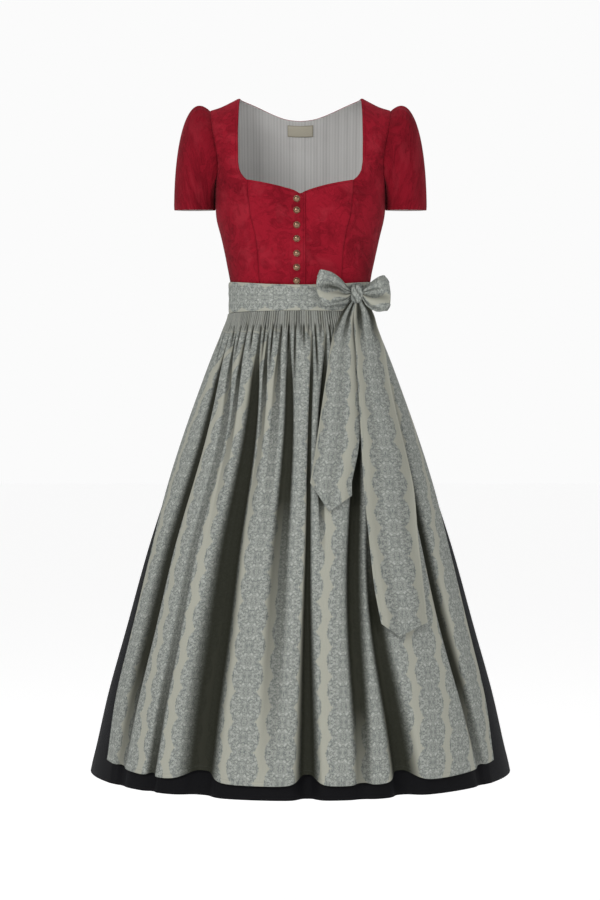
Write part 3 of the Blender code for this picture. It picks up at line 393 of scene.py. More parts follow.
def dress(piece, node, sheet=None):
    """The piece rides with the dress and stands for a solid, which it hides."""
    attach(piece, "root")
    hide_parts(node)


# The bodice
class HalfForm:
    """The front or back face of the bodice, read at any share of the half section and any level."""

    def __init__(self, front):
        # the levels lie closer together over the roll of the shoulder
        close = 0.043 * (1 - np.linspace(0, 1, 80)) ** 2
        self.levels = SHOULDER_TOP - np.concatenate([np.linspace(SHOULDER_TOP + 0.405, close[0], 150), close[1:]])
        self.shares = np.linspace(0, 1, 321)
        sections = [self.section(level, front) for level in self.levels]
        self.points, self.long = (np.array(k) for k in zip(*sections))
        self.normals = grid_normals(self.points) * (1 if front else -1)
        self.normals[:, 0, 0] = 0
        self.normals[-1] = (0, 0, 1)

    def section(self, level, front):
        """Points of half a section, and how long it is."""
        half, deep, square = (float(read(BODICE_SECTIONS, level, k)) for k in (1, 2 if front else 3, 4))
        turn = np.linspace(0, math.pi / 2, 361)
        x, y = half * np.sin(turn) ** (2 / square), np.cos(turn) ** (2 / square)
        y[-1] = 0
        rolled = min(1.0, max(0.0, 1 - (SHOULDER_TOP - level) / SHOULDER_ROLL))
        y = y * deep * (1 - rolled**2.2) ** (1 / 2.2)
        if front:
            cups = hump((x - CUP_X) / CUP_WIDE) * hump((level - CUP_Z) / CUP_HIGH)
            y = y + CUP_OUT * cups * np.cos(turn) ** 0.5
        run = run_along(np.stack([x, y], axis=1), 0)
        x, y = (np.interp(self.shares * run[-1], run, k) for k in (x, y))
        drop = ease((level - UNDERARM) / (SHOULDER_TOP - UNDERARM))
        height = level + (read(SHOULDER_LINE, x) - SHOULDER_TOP) * drop
        return np.stack([x, -y if front else y, height], axis=1), run[-1]

    def row_of(self, level):
        return np.interp(level, self.levels, np.arange(len(self.levels)))

    def at(self, share, level):
        """Points and outward normals."""
        share, level = np.broadcast_arrays(np.asarray(share, float), np.asarray(level, float))
        i, j = self.row_of(level), np.clip(np.abs(share), 0, 1) * (len(self.shares) - 1)
        i0 = np.clip(i.astype(int), 0, len(self.levels) - 2)
        j0 = np.clip(j.astype(int), 0, len(self.shares) - 2)
        a, b = (i - i0)[..., None], (j - j0)[..., None]
        found = []
        for table in (self.points, self.normals):
            value = ((table[i0, j0] * (1 - a) + table[i0 + 1, j0] * a) * (1 - b)
                     + (table[i0, j0 + 1] * (1 - a) + table[i0 + 1, j0 + 1] * a) * b)
            value[..., 0] *= np.where(share < 0, -1.0, 1.0)
            found.append(value)
        return found[0], unit(found[1])

    def share_of_x(self, x, level):
        """Signed share whose distance from the middle is x."""
        x, level = np.broadcast_arrays(np.asarray(x, float), np.asarray(level, float))
        found = np.zeros(x.shape)
        for place, row in np.ndenumerate(self.row_of(level)):
            i = min(int(row), len(self.levels) - 2)
            line = self.points[i, :, 0] * (1 - (row - i)) + self.points[i + 1, :, 0] * (row - i)
            found[place] = np.interp(abs(x[place]), line, self.shares)
        return np.where(x < 0, -1.0, 1.0) * found

    def armhole(self, level):
        """Share where the armhole, or below it the side seam, ends a panel."""
        level = np.asarray(level, float)
        half, square = (read(BODICE_SECTIONS, level, k) for k in (1, 4))
        deep = np.interp(level, *ARMHOLE.T)
        share = self.share_of_x(half * (1 - deep**square) ** (1 / square), level)
        return np.where(level <= UNDERARM, 1.0, share)

    def panel_end(self, level):
        """The same, less the gap of the side seam."""
        return self.armhole(level) - np.where(level <= UNDERARM, SEAM_GAP / 2, 0)

    def run(self, share, level):
        """Distance from the middle along the cloth."""
        return share * np.interp(level, self.levels, self.long)


def inner_edge(level):
    return np.interp(level, *FRONT_INNER_EDGE.T)


def edge_roll(distance, deep=0.0008, wide=0.003):
    """How far a sewn edge turns in, at a distance from it."""
    return -deep * np.clip(1 - distance / wide, 0, 1) ** 2


def panel_sheet(width, length, area, on=()):
    return dict(flat=(width, length), area=area, held="stretched", rests_on=list(on))


def front_centre(form, side, thickness, finish, inside):
    """The buttoned middle front of one side; side -1 is the wearer's right, which laps over."""
    start = LAP_EDGE if side < 0 else UNDERLAP_EDGE
    s = np.linspace(0, 1, 64)[None, :]
    t = np.linspace(0, 1, 70)[:, None] ** 0.92

    def x_at(level):
        return start + s * (side * (inner_edge(level) - SEAM_GAP / 2) - start)

    top = np.full(s.shape, -0.193)
    for _ in range(10):
        top = read(SWEETHEART, np.abs(x_at(top)))
    level = BODICE_BOTTOM + t * (top - BODICE_BOTTOM)
    x = x_at(level)
    share = form.share_of_x(x, level)
    point, normal = form.at(share, level)
    to_neck, to_lap, to_seam = top - level, np.abs(x - start), np.abs(side * inner_edge(level) - x)
    u = form.run(share, level)
    out = edge_roll(to_seam, *PRINCESS_ROLL) + edge_roll(to_neck)
    out = out + CLOTH_UNREST * unrest(u, level, 0.07, 1.0 + side)
    edge = to_neck
    if side < 0:
        out = out + LAP_STEP * ease((x + 0.030) / 0.014)
        out = out + edge_roll(to_lap, *LAP_ROLL) + 0.0005 * hump((x - 0.0035) / 0.003)
        edge = np.minimum(to_neck, to_lap)
    name = "front_centre_" + SIDES[side]
    piece = wall(name + "_velvet", point + normal * out[..., None], thickness, -normal, pair(u + 0.31 * side, level),
                 finish, inside, edge=edge, fold=SEAM_SHADE * hump(to_seam / SEAM_SHADE_WIDE))
    dress(piece, name, panel_sheet(0.125, 0.222, 0.0222))


def front_side(form, side, thickness, finish, inside):
    """Side front with its shoulder strap."""
    s = np.linspace(0, 1, 48)[None, :]
    level = np.interp(np.linspace(0, 1, 130)[:, None], (0, 0.52, 0.90, 1),
                      (BODICE_BOTTOM, UNDERARM, -0.012, SHOULDER_TOP))
    inner, outer = form.share_of_x(inner_edge(level) + SEAM_GAP / 2, level), form.panel_end(level)
    share = side * (inner + s * (outer - inner))
    point, normal = form.at(share, level)
    u = form.run(share, level)
    to_inner, to_outer = (np.abs(u - side * form.run(end, level)) for end in (inner, outer))
    out = edge_roll(to_inner, *PRINCESS_ROLL) + edge_roll(to_outer, *SIDE_ROLL)
    point = point + normal * (out + CLOTH_UNREST * unrest(u, level, 0.08, 3.0 + side))[..., None]
    point[-1, :, 1] = -SEAM_GAP / 2
    low = ease((-0.150 - level) / 0.04)
    name = "front_side_" + SIDES[side]
    piece = wall(name + "_velvet", point, thickness, -normal, pair(u + 0.77 * side, level + 0.11), finish, inside,
                 edge=np.where(level > -0.163, to_inner, 1.0),
                 fold=low * np.maximum(SEAM_SHADE * hump(to_inner / SEAM_SHADE_WIDE), SIDE_SHADE * s))
    dress(piece, name, panel_sheet(0.115, 0.420, 0.0300))


def back_grid(form, rows, columns):
    """Shares and levels of the back, cut out at the neck and the armholes."""
    level = np.interp(np.linspace(0, 1, rows), (0, 0.50, 0.88, 1), (BODICE_BOTTOM, UNDERARM, -0.014, SHOULDER_TOP))
    neck = NECK_HALF_WIDTH / (float(form.armhole(SHOULDER_TOP)) * BODICE_SECTIONS[-1, 1])
    s = np.linspace(-1, 1, columns)
    near = np.argmin(np.abs(np.abs(s) - neck))
    s = np.interp(np.abs(s), (0, abs(s[near]), 1), (0, neck, 1)) * np.sign(s)
    tops = np.full(columns, SHOULDER_TOP)
    inside = np.abs(s) <= neck + 1e-9
    found = np.full(inside.sum(), -0.01)
    for _ in range(14):
        x = form.at(s[inside] * form.armhole(found), found)[0][:, 0]
        found = np.minimum(read(BACK_NECK, np.abs(x)), SHOULDER_TOP)
    tops[inside] = found
    share = (level[:, None] - BODICE_BOTTOM) / (SHOULDER_TOP - BODICE_BOTTOM)
    levels = BODICE_BOTTOM + share * (tops - BODICE_BOTTOM)
    outer = form.panel_end(levels)
    return s * outer, levels, tops, outer


# Fabrics
class Wire:
    """A node's output that takes part in plain arithmetic."""

    def __init__(self, nodes, socket):
        self.nodes, self.socket = nodes, socket

    def __add__(self, other):
        return self.nodes.math("ADD", self, other)

    def __sub__(self, other):
        return self.nodes.math("SUBTRACT", self, other)

    def __rsub__(self, other):
        return self.nodes.math("SUBTRACT", other, self)

    def __mul__(self, other):
        return self.nodes.math("MULTIPLY", self, other)

    def __truediv__(self, other):
        return self.nodes.math("DIVIDE", self, other)

    def __pow__(self, other):
        return self.nodes.math("POWER", self, other)

    def __abs__(self):
        return self.nodes.math("ABSOLUTE", self)


class Nodes:
    """Short hand for building a tree of nodes."""

    def __init__(self, tree):
        self.tree = tree

    def put(self, socket, value):
        if isinstance(value, Wire):
            self.tree.links.new(value.socket, socket)
        elif hasattr(value, "__len__") and len(value) == 3 and len(socket.default_value) == 4:
            socket.default_value = (*value, 1)
        else:
            socket.default_value = value

    def node(self, kind, inputs=(), **settings):
        made = self.tree.nodes.new(kind)
        for key, value in settings.items():
            setattr(made, key, value)
        for socket, value in dict(inputs).items():
            self.put(made.inputs[socket], value)
        return made

    def wire(self, kind, inputs=(), output=0, **settings):
        """One output of a new node."""
        return Wire(self, self.node(kind, inputs, **settings).outputs[output])

    def math(self, operation, a, b=0.0):
        return self.wire("ShaderNodeMath", {0: a, 1: b}, operation=operation)

    def most(self, value, *others):
        for other in others:
            value = self.math("MAXIMUM", value, other)
        return value

    def step(self, value, low, high, start=0.0, end=1.0):
        """start below low, end above high, and smooth between."""
        return self.wire("ShaderNodeMapRange", {0: value, 1: low, 2: high, 3: start, 4: end},
                         interpolation_type="SMOOTHSTEP")

    def line(self, value, middle, near, far):
        """1 where the value is near its middle, 0 where it is far."""
        return 1 - self.step(abs(value - middle), near, far)

    def apart(self, vector):
        """The three parts of a vector."""
        return [Wire(self, part) for part in self.node("ShaderNodeSeparateXYZ", {0: vector}).outputs]


class Fabric(Nodes):
    """Short hand for building a material."""

    def __init__(self, name):
        self.material = bpy.data.materials.new(name)
        self.material.use_nodes = True
        super().__init__(self.material.node_tree)

    def mix(self, share, a, b):
        return self.wire("ShaderNodeMix", {0: share, 6: a, 7: b}, 2, data_type="RGBA")

    def cloth_map(self):
        uv = self.wire("ShaderNodeUVMap", uv_map="cloth")
        u, v, _ = self.apart(uv)
        return uv, u, v

    def object_map(self):
        return self.wire("ShaderNodeTexCoord", output="Object")

    def point(self, x, y):
        return self.wire("ShaderNodeCombineXYZ", {0: x, 1: y})

    def noise(self, where, scale, detail=2.0, rough=0.5, distortion=0.0):
        sockets = {"Vector": where, "Scale": scale, "Detail": detail, "Roughness": rough, "Distortion": distortion}
        return self.wire("ShaderNodeTexNoise", sockets)

    def stored(self, name):
        return self.wire("ShaderNodeAttribute", output="Fac", attribute_name=name)

    def wave(self, value, length):
        return self.math("SINE", value * (2 * math.pi / length))

    def weave(self, u, v, pitch):
        """Height of a plain weave."""
        return self.wave(u, pitch) * self.wave(v, pitch)

    def bump(self, height, distance, strength):
        return self.wire("ShaderNodeBump", {"Height": height, "Distance": distance, "Strength": strength})

    def finish(self, **sockets):
        for name, value in sockets.items():
            self.put(self.tree.nodes["Principled BSDF"].inputs[name.replace("_", " ")], value)
        return self.material


def finished(maker, *settings):
    """The material that a maker builds, made once and named after it."""
    name = maker.__name__
    return bpy.data.materials.get(name) or maker(Fabric(name), *settings)


def shade(colour, by):
    return tuple(by * c for c in colour)


def between(a, b, share):
    return tuple((1 - share) * c + share * d for c, d in zip(a, b))


def red_velvet(f, settings):
    """Velvet pressed with soft scrolls, darker where the pile lies down, with painted sheen where it stands up and
    painted shade in seams, at the sides and on the sleeves.
    """
    uv, u, v = f.cloth_map()
    bend = f.noise(uv, 22)
    swirl = f.point(u + bend * 0.030, v - bend * 0.026)
    broad = f.noise(swirl, 30, 2.5, 0.6, 1.6)
    patches = f.step(broad, 0.42, 0.68)
    flecks = f.step(f.noise(swirl, 120, 2, 0.6, 0.8), 0.40, 0.66)
    pile = f.noise(uv, 1300, 2, 0.6)
    share = f.line(broad, 0.5, 0.004, 0.040) * 0.34 + patches * 0.38 + flecks * 0.20
    share = share + (f.noise(uv, 12, 3) - 0.5) * 1.7 + (pile - 0.5) * 0.5
    colour = f.mix(share, settings.colour, settings.scroll)
    # painted sheen: lighter pinkish patches where the pile stands up
    pile_sheen = f.step(f.noise(swirl, 20, 3, 0.6), 0.50, 0.66)
    colour = f.mix(pile_sheen * 0.36, colour, settings.pile_sheen)
    edge = f.stored("edge")
    stitch = f.line(edge, 0.0042, 0.0002, 0.0008)
    colour = f.mix(stitch * 0.32, colour, settings.scroll)
    # painted shade: darker in the seams, towards the sides and over the sleeves, from the stored fold value
    colour = f.mix(f.stored("fold") * 0.75, colour, shade(settings.scroll, 0.30))
    colour = f.mix(f.line(edge, 0, 0.0002, 0.0016) * 0.30, colour, settings.scroll)
    height = patches * 0.45 + pile * 0.35 + flecks * 0.35 - stitch * 1.2
    return f.finish(Base_Color=colour, Roughness=0.9, Sheen_Weight=0.045, Sheen_Roughness=0.5,
                    Sheen_Tint=(1.0, 0.45, 0.48), Normal=f.bump(height, 0.0007, 0.8), Specular_IOR_Level=0.06)


def striped_lining(f, settings):
    """Grey cotton with fine woven stripes down its length."""
    uv, u, v = f.cloth_map()
    pitch = 0.0031
    dark = f.line(f.math("FRACT", u / (2 * pitch)), 0.5, 0.06, 0.15)
    thin = f.line(f.math("FRACT", u / pitch), 0.5, 0.08, 0.22)
    each = f.wire("ShaderNodeTexWhiteNoise", {"W": f.math("FLOOR", u / pitch)}, noise_dimensions="1D")
    share = dark * (each * 0.5 + 0.25) + thin * 0.22 + each * 0.18 + (f.noise(uv, 800) - 0.5) * 0.5
    colour = f.mix(share, settings.lining, shade(settings.lining, 0.66))
    height = f.weave(u, v, 0.0009) * 0.3 + share
    return f.finish(Base_Color=colour, Roughness=0.85, Specular_IOR_Level=0.2, Normal=f.bump(height, 0.0003, 0.5))


def blank_label(f, settings):
    """A blank woven tape."""
    uv, u, v = f.cloth_map()
    border = 1 - f.step(f.stored("edge"), 0.0012, 0.0020)
    colour = f.mix(border * 0.6, settings.label, shade(settings.label, 0.35))
    colour = f.mix(f.noise(uv, 900) * 0.25, colour, shade(settings.label, 1.5))
    return f.finish(Base_Color=colour, Roughness=0.55, Normal=f.bump(f.wave(v, 0.0008), 0.0002, 0.6))


def black_wool(f, settings):
    """Black wool with a soft sheen."""
    uv, u, v = f.cloth_map()
    fibre = f.noise(f.point(u, v * 0.35), 900, 3, 0.6)
    share = fibre * 0.6 + f.noise(uv, 14) * 0.35
    colour = f.mix(share, shade(settings.colour, 0.72), shade(settings.colour, 1.55))
    stitch = f.line(f.stored("edge"), 0.030, 0.0003, 0.0010)
    height = f.weave(u, v, 0.0011) * 0.35 + fibre - stitch
    return f.finish(Base_Color=colour, Roughness=0.75, Sheen_Weight=0.012, Sheen_Roughness=0.4,
                    Sheen_Tint=(0.75, 0.8, 1.0), Specular_IOR_Level=0.10, Normal=f.bump(height, 0.0003, 0.5))


def sage_jacquard(f, settings):
    """Sage jacquard: columns of lace-like medallions with scalloped edges between plain satin stripes, with painted
    shade in its folds, creases and shirring.
    """
    uv, u, v = f.cloth_map()
    stripe, repeat, turn = settings.stripe, 0.054, 2 * math.pi
    column = u / stripe
    side = abs((f.math("FRACT", column) - 0.5) * stripe)
    # neighbouring columns are half a repeat apart
    run = v + f.math("MODULO", f.math("FLOOR", column), 2) * (repeat / 2)
    along = abs((f.math("FRACT", run / repeat) - 0.5) * repeat)
    lobe = abs(f.math("COSINE", run * (turn / (2 * repeat))))
    nick = f.math("COSINE", run * (turn / (repeat / 9)))
    warp = f.noise(uv, 75, 2, 0.6) - 0.5
    half = lobe**0.7 * 0.0108 + nick * 0.0006 + 0.0180 + f.noise(f.point(0, along), 110) * 0.0040 + warp * 0.0075
    inside = f.step(half - side, -0.0003, 0.0006)
    rim = f.line(half - side, 0.0015, 0.0003, 0.0011)
    # medallion: petals round a middle, mirrored on the column's own line
    far = f.math("SQRT", side**2 + along**2)
    petals = f.math("COSINE", f.math("ARCTAN2", along, side) * 8)
    rings = f.step(f.math("SINE", petals * 1.6 + far * (turn / 0.0078)), 0.0, 0.8)
    mirrored = f.point(side + warp * 0.008, along - warp * 0.009)
    curls = f.wire("ShaderNodeTexVoronoi", {"Vector": mirrored, "Scale": 105}, feature="DISTANCE_TO_EDGE")
    curls = (1 - f.step(curls, 0.03, 0.11)) * f.step(f.noise(mirrored, 60, 1), 0.40, 0.56)
    leaves = f.line(f.noise(mirrored, 92, 2, 0.55, 2.2), 0.5, 0.012, 0.052)
    vines = f.line(f.noise(mirrored, 210, 1.5, 0.5, 1.4), 0.5, 0.015, 0.060)
    lace = f.most(rings * 0.34, curls, leaves, vines * 0.6, rim * 0.45)
    beads = f.noise(mirrored, 250, 1, 0.5, 0.6)
    speck = f.step(beads, 0.52, 0.62) * f.step(f.noise(mirrored, 90, 1), 0.42, 0.56)
    thread = f.noise(uv, 1000, 2, 0.6)
    shine = (thread - 0.5) * 0.9 + f.noise(f.point(u * 3, v * 0.25), 260) * 0.4
    ground = f.mix(shine, settings.ground, shade(settings.ground, 0.62))
    pale = between(settings.ground, (0.33, 0.36, 0.35), 0.4)
    cloud = f.noise(f.point(u, v * 0.5), 20)
    motif = f.mix(cloud * 0.5 + shine * 0.5, pale, between(settings.motif, pale, 0.72))
    motif = f.mix(lace * 0.72, motif, shade(settings.motif, 0.55))
    motif = f.mix(speck * 0.42, motif, (0.480, 0.495, 0.465))
    shirred = f.stored("gather")
    inside = inside * (1 - shirred * 0.35)
    colour = f.mix(inside, ground, motif)
    # painted shade: the shirring darker all over, for the shade between its fine gathers
    colour = f.mix(shirred * 0.65, colour, (0.215, 0.222, 0.205))
    # painted shade: near black in the valleys of the folds, darts, gathers and creases
    colour = f.mix(f.stored("fold") * 0.98, colour, (0.0150, 0.0155, 0.0095))
    stitch = f.line(f.stored("edge"), 0.0075, 0.0002, 0.0008)
    colour = f.mix(stitch * 0.14, colour, (0.07, 0.08, 0.07))
    satin = f.wave(u + v * 2, 0.0010)
    height = lace * inside + satin * 0.18 + speck * inside * 0.7 + thread * 0.35 - stitch * 0.8
    return f.finish(Base_Color=colour, Roughness=lace * inside * 0.16 + 0.58, Specular_IOR_Level=0.10,
                    Normal=f.bump(height, 0.0004, 0.5))


def old_metal(f, settings):
    """Old silver with brown in its hollows."""
    where = f.object_map()
    wear, grain = f.noise(where, 900, 3, 0.6), f.noise(where, 2600, 2, 0.6)
    raised = f.step(f.wire("ShaderNodeNewGeometry", output="Pointiness"), 0.49, 0.56)
    colour = f.mix(raised * (wear * 0.6 + 0.45) + grain * 0.25, (0.022, 0.010, 0.006), settings.colour)
    return f.finish(Base_Color=colour, Metallic=1.0, Roughness=wear * 0.2 + 0.15,
                    Normal=f.bump(grain, 0.0002, 0.4))


def pale_floor(f):
    colour = f.mix(f.noise(f.object_map(), 3) * 0.10, (0.74, 0.74, 0.74), (0.72, 0.72, 0.72))
    return f.finish(Base_Color=colour, Roughness=0.9, Specular_IOR_Level=0.1, Emission_Color=(1, 1, 1),
                    Emission_Strength=0.62)


class DIRNDL_OT_bodice(Operator):
    """Cut and sew the velvet bodice: two middle fronts, two side fronts and the back"""

    bl_idname = "dirndl.bodice"
    bl_label = "Bodice"

    def execute(self, context):
        settings = context.scene.dirndl.bodice
        cloths = finished(red_velvet, settings), finished(striped_lining, settings)
        front, back = HalfForm(True), HalfForm(False)
        for side in SIDES:
            front_centre(front, side, settings.wall, *cloths)
            front_side(front, side, settings.wall, *cloths)
        share, level, tops, outer = back_grid(back, 120, 121)
        point, normal = back.at(share, level)
        u = back.run(share, level)
        to_neck = np.where(tops < SHOULDER_TOP - 1e-6, tops - level, 1.0)
        to_side = np.abs(back.run(outer, level) - np.abs(u))
        out = edge_roll(to_side, *SIDE_ROLL) + edge_roll(to_neck, *NECK_ROLL)
        # two long darts shape the plain back
        dart = np.abs(np.abs(u) - (0.062 + 0.10 * np.clip(level - BODICE_BOTTOM, 0, 1)))
        out = out + edge_roll(dart, *DART_ROLL) * ease((-0.13 - level) / 0.03)
        face = point + normal * (out + CLOTH_UNREST * unrest(u, level, 0.09, 6.0))[..., None]
        face[-1, np.abs(point[-1, :, 1]) < 0.002, 1] = SEAM_GAP / 2
        piece = wall("back_velvet", face, settings.wall, -normal, pair(u, level + 0.4), *cloths, edge=to_neck)
        dress(piece, "back", panel_sheet(0.46, 0.41, 0.128))
        return {"FINISHED"}


class DIRNDL_OT_lining(Operator):
    """Hang the striped lining inside the back and sew the blank label to it"""

    bl_idname = "dirndl.lining"
    bl_label = "Lining and label"

    def execute(self, context):
        settings = context.scene.dirndl.bodice
        back = HalfForm(False)
        share, level, *_ = back_grid(back, 90, 101)
        point, normal = back.at(share, level)
        u = back.run(share, level)
        hang = LINING_HANG + 0.0006 * unrest(u, level, 0.05, 2.0) + 0.0004 * np.sin(u * 2 * math.pi / 0.021)
        piece = wall("lining_cotton", point - normal * hang[..., None], LINING_WALL, -normal, pair(u, level),
                     finished(striped_lining, settings))
        dress(piece, "back_lining", panel_sheet(0.45, 0.41, 0.125, ["back_velvet"]))

        s, t = np.linspace(-1, 1, 41)[None, :], np.linspace(0, 1, 17)[:, None]
        x, level = LABEL_HALF_WIDTH * s + 0 * t, LABEL_BOTTOM + LABEL_HIGH * t + 0 * s
        point, normal = back.at(back.share_of_x(x, level), level)
        edge = np.minimum(LABEL_HALF_WIDTH - np.abs(x), LABEL_HIGH * np.minimum(t, 1 - t))
        bulge = np.cos(s * 2.2) * np.sin(t * math.pi) - 1 + np.clip(edge / 0.002, 0, 1)
        lift = LABEL_HANG + 0.0006 * bulge
        piece = wall("label_tape", point - normal * lift[..., None], LINING_WALL, -normal, pair(x, level),
                     finished(blank_label, settings), edge=edge)
        dress(piece, "label", panel_sheet(0.052, 0.022, 0.00114, ["lining_cotton"]))
        return {"FINISHED"}


def armhole_ring(forms, tuck, under):
    """Points round the armhole, from the shoulder down the front and up the back, and how far round each one is.

    tuck moves them on under the bodice's cloth, and under is their depth below its face.
    """
    levels = np.concatenate([np.linspace(SHOULDER_TOP, -0.150, 150),
                             -0.150 - 0.020 * np.sin(np.linspace(0, math.pi / 2, 50)[1:])])
    low = ease((-0.130 - levels) / 0.038)
    front, back = (form.at(form.armhole(levels) - tuck * (1 - low) / 0.24, levels - tuck * low) for form in forms)
    front, back = (point - normal * under for point, normal in (front, back))
    front[0, 1] = 0.0
    closed = np.concatenate([front, back[::-1][1:-1], front[:1]])
    run = run_along(closed, 0)
    share = np.arange(SLEEVE_COLUMNS) / SLEEVE_COLUMNS
    return np.stack([np.interp(share * run[-1], run, k) for k in closed.T], axis=1), share * 2 * math.pi


class DIRNDL_OT_sleeves(Operator):
    """Set in the two short puff sleeves, gathered at the head"""

    bl_idname = "dirndl.sleeves"
    bl_label = "Sleeves"

    def execute(self, context):
        settings, bodice = context.scene.dirndl.sleeve, context.scene.dirndl.bodice
        cloths = finished(red_velvet, bodice), finished(striped_lining, bodice)
        forms = HalfForm(True), HalfForm(False)
        ring, around = armhole_ring(forms, 0, 0.0006)
        rows = [armhole_ring(forms, tuck, 0.0030)[0] for tuck in (0.006, 0.003, 0.0008)]
        seam_rows = len(rows)
        radial = np.stack([np.zeros_like(around), -np.sin(around), np.cos(around)], axis=1)
        high = (1 + np.cos(around)) / 2
        leave = unit(np.array((0.76, 0, 0)) * (0.12 + 0.88 * ease(high * 3))[:, None] + radial * 0.65)
        # each line of the sleeve is a curve from the armhole to the hem
        start = ring + leave * 0.0006
        hem = np.stack([CUFF_X + CUFF_WIDE * np.cos(around), -CUFF_DEEP * np.sin(around),
                        CUFF_LEVEL + CUFF_RISE * (1 - np.sin(around))], axis=1)
        first = start + leave * (0.007 + 0.058 * high[:, None] ** 1.5)
        second = hem + np.array((0, 0, 1.0)) * (0.012 + 0.115 * high[:, None])
        wave = np.cos(around * settings.gathers + 1.2 * np.sin(around * 3)) * (1 + 0.35 * np.sin(around * 5 + 1.0))
        for t in np.linspace(0, 1, 60) ** 1.15:
            line = start * (1 - t) ** 3 + first * 3 * t * (1 - t) ** 2 + second * 3 * t**2 * (1 - t) + hem * t**3
            fade = max(0, math.sin(math.pi * min(1, 0.10 + 2.2 * t)))
            soft = 0.0012 * unrest(around * 0.06, t * 0.2, 0.11, 4.0) * math.sin(math.pi * min(1, t * 1.3))
            rows.append(line + radial * (wave * high**2 * settings.gather_deep * fade + soft)[:, None])
        grid = np.array(rows)
        along = run_along(grid, 0)
        turn_in = edge_roll(along[-1] - along, *NECK_ROLL)
        # crease is painted shade: strongest along the seam at the head and, less, over the whole sleeve
        crease = np.maximum(HEAD_SHADE * hump((along - along[seam_rows]) / HEAD_SHADE_WIDE), SIDE_SHADE)
        for side in SIDES:
            made = grid * (side, 1, 1)
            outward = facing(made, made - made.mean(axis=1, keepdims=True), around=True)
            u = np.append(around / (2 * math.pi), 1) * 0.36 + 0.5 * side
            name = "sleeve_" + SIDES[side]
            piece = wall(name + "_velvet", made + outward * turn_in[..., None], settings.wall, -outward,
                         pair(u, -np.append(along, along[:, :1], axis=1)), *cloths, around=True, fold=crease)
            dress(piece, name, dict(flat=(0.40, 0.235), area=0.068, held="gathered",
                                              rests_on=["front_side_%s_velvet" % SIDES[side]]))
        return {"FINISHED"}


def select_only(piece):
    bpy.ops.object.select_all(action="DESELECT")
    piece.select_set(True)
    bpy.context.view_layer.objects.active = piece


def edit_faces(piece, wanted):
    """Edit mode with only the wanted faces selected."""
    select_only(piece)
    bpy.ops.object.mode_set(mode="EDIT")
    bpy.ops.mesh.select_mode(type="FACE")
    bpy.ops.mesh.select_all(action="DESELECT")
    bpy.ops.object.mode_set(mode="OBJECT")
    for face in piece.data.polygons:
        face.select = bool(wanted(face))
    bpy.ops.object.mode_set(mode="EDIT")


def raise_faces(piece, wanted, inset, rise):
    """Inset the wanted faces and move them out."""
    edit_faces(piece, wanted)
    bpy.ops.mesh.inset(thickness=inset)
    bpy.ops.mesh.extrude_region_shrink_fatten(TRANSFORM_OT_shrink_fatten={"value": rise})
    bpy.ops.object.mode_set(mode="OBJECT")


def ball(radius, segments, rings, *place):
    bpy.ops.mesh.primitive_uv_sphere_add(segments=segments, ring_count=rings, radius=radius, location=place)
    return bpy.context.object


def model_button(radius):
    """A domed button with a ring of petals, a beaded rim and a middle bead, its foot on z = 0."""
    bpy.ops.object.select_all(action="DESELECT")
    bpy.ops.mesh.primitive_cylinder_add(vertices=32, radius=radius * 0.97, depth=radius * 0.16,
                                        location=(0, 0, radius * 0.09))
    base = bpy.context.object
    raise_faces(base, lambda face: face.normal.z > 0.9, radius * 0.07, -radius * 0.04)
    dome = ball(radius * 0.86, 24, 14, 0, 0, 0)
    bpy.ops.object.mode_set(mode="EDIT")
    bpy.ops.mesh.select_all(action="SELECT")
    bpy.ops.mesh.bisect(plane_co=(0, 0, 0), plane_no=(0, 0, 1), clear_inner=True, use_fill=True)
    bpy.ops.mesh.select_all(action="SELECT")
    bpy.ops.transform.resize(value=(1, 1, 0.66))
    bpy.ops.transform.translate(value=(0, 0, radius * 0.10))
    bpy.ops.object.mode_set(mode="OBJECT")
    for low, high, rise in ((0.16, 0.34, 0.05), (0.36, 0.52, 0.045)):
        def petal(face, low=low, high=high):
            turn = math.atan2(face.center.y, face.center.x) % (math.pi / 6)
            return low < face.center.z / radius < high and turn < math.pi / 12
        raise_faces(dome, petal, radius * 0.020, radius * rise)
    parts, rim = [base, dome], radius * 0.88
    for turn in np.linspace(0, 2 * math.pi, 12, endpoint=False):
        parts.append(ball(radius * 0.105, 8, 6, math.cos(turn) * rim, math.sin(turn) * rim, radius * 0.20))
    parts.append(ball(radius * 0.17, 14, 8, 0, 0, radius * 0.66))
    select_only(base)
    for part in parts:
        part.select_set(True)
    bpy.ops.object.join()
    bpy.ops.object.transform_apply(location=True, rotation=True, scale=True)
    bpy.ops.object.shade_smooth_by_angle(angle=math.radians(35))
    return base


class DIRNDL_OT_buttons(Operator):
    """Model one domed metal button and sew a copy at each place on the lapped edge"""

    bl_idname = "dirndl.buttons"
    bl_label = "Buttons"

    def execute(self, context):
        settings = context.scene.dirndl.button
        front = HalfForm(True)
        first = model_button(settings.radius)
        first.data.materials.clear()
        first.data.materials.append(finished(old_metal, settings))
        for k, (level, step) in enumerate(zip(BUTTON_LEVELS, BUTTON_STEPS), 1):
            foot, normal = front.at(front.share_of_x(BUTTON_X, level), level)
            button = first
            if k < len(BUTTON_LEVELS):
                button = first.copy()
                button.data = first.data.copy()
                context.scene.collection.objects.link(button)
            button.name = f"button_{k}_metal"
            select_only(button)
            button.rotation_mode = "QUATERNION"
            button.rotation_quaternion = Vector((0, 0, 1)).rotation_difference(Vector(normal * (1, 1, 0.3)))
            button.location = foot + normal * (LAP_STEP + SEAM_GAP + step)
            bpy.ops.object.transform_apply(location=True, rotation=True, scale=True)
            dress(button, f"button_{k}")
        return {"FINISHED"}


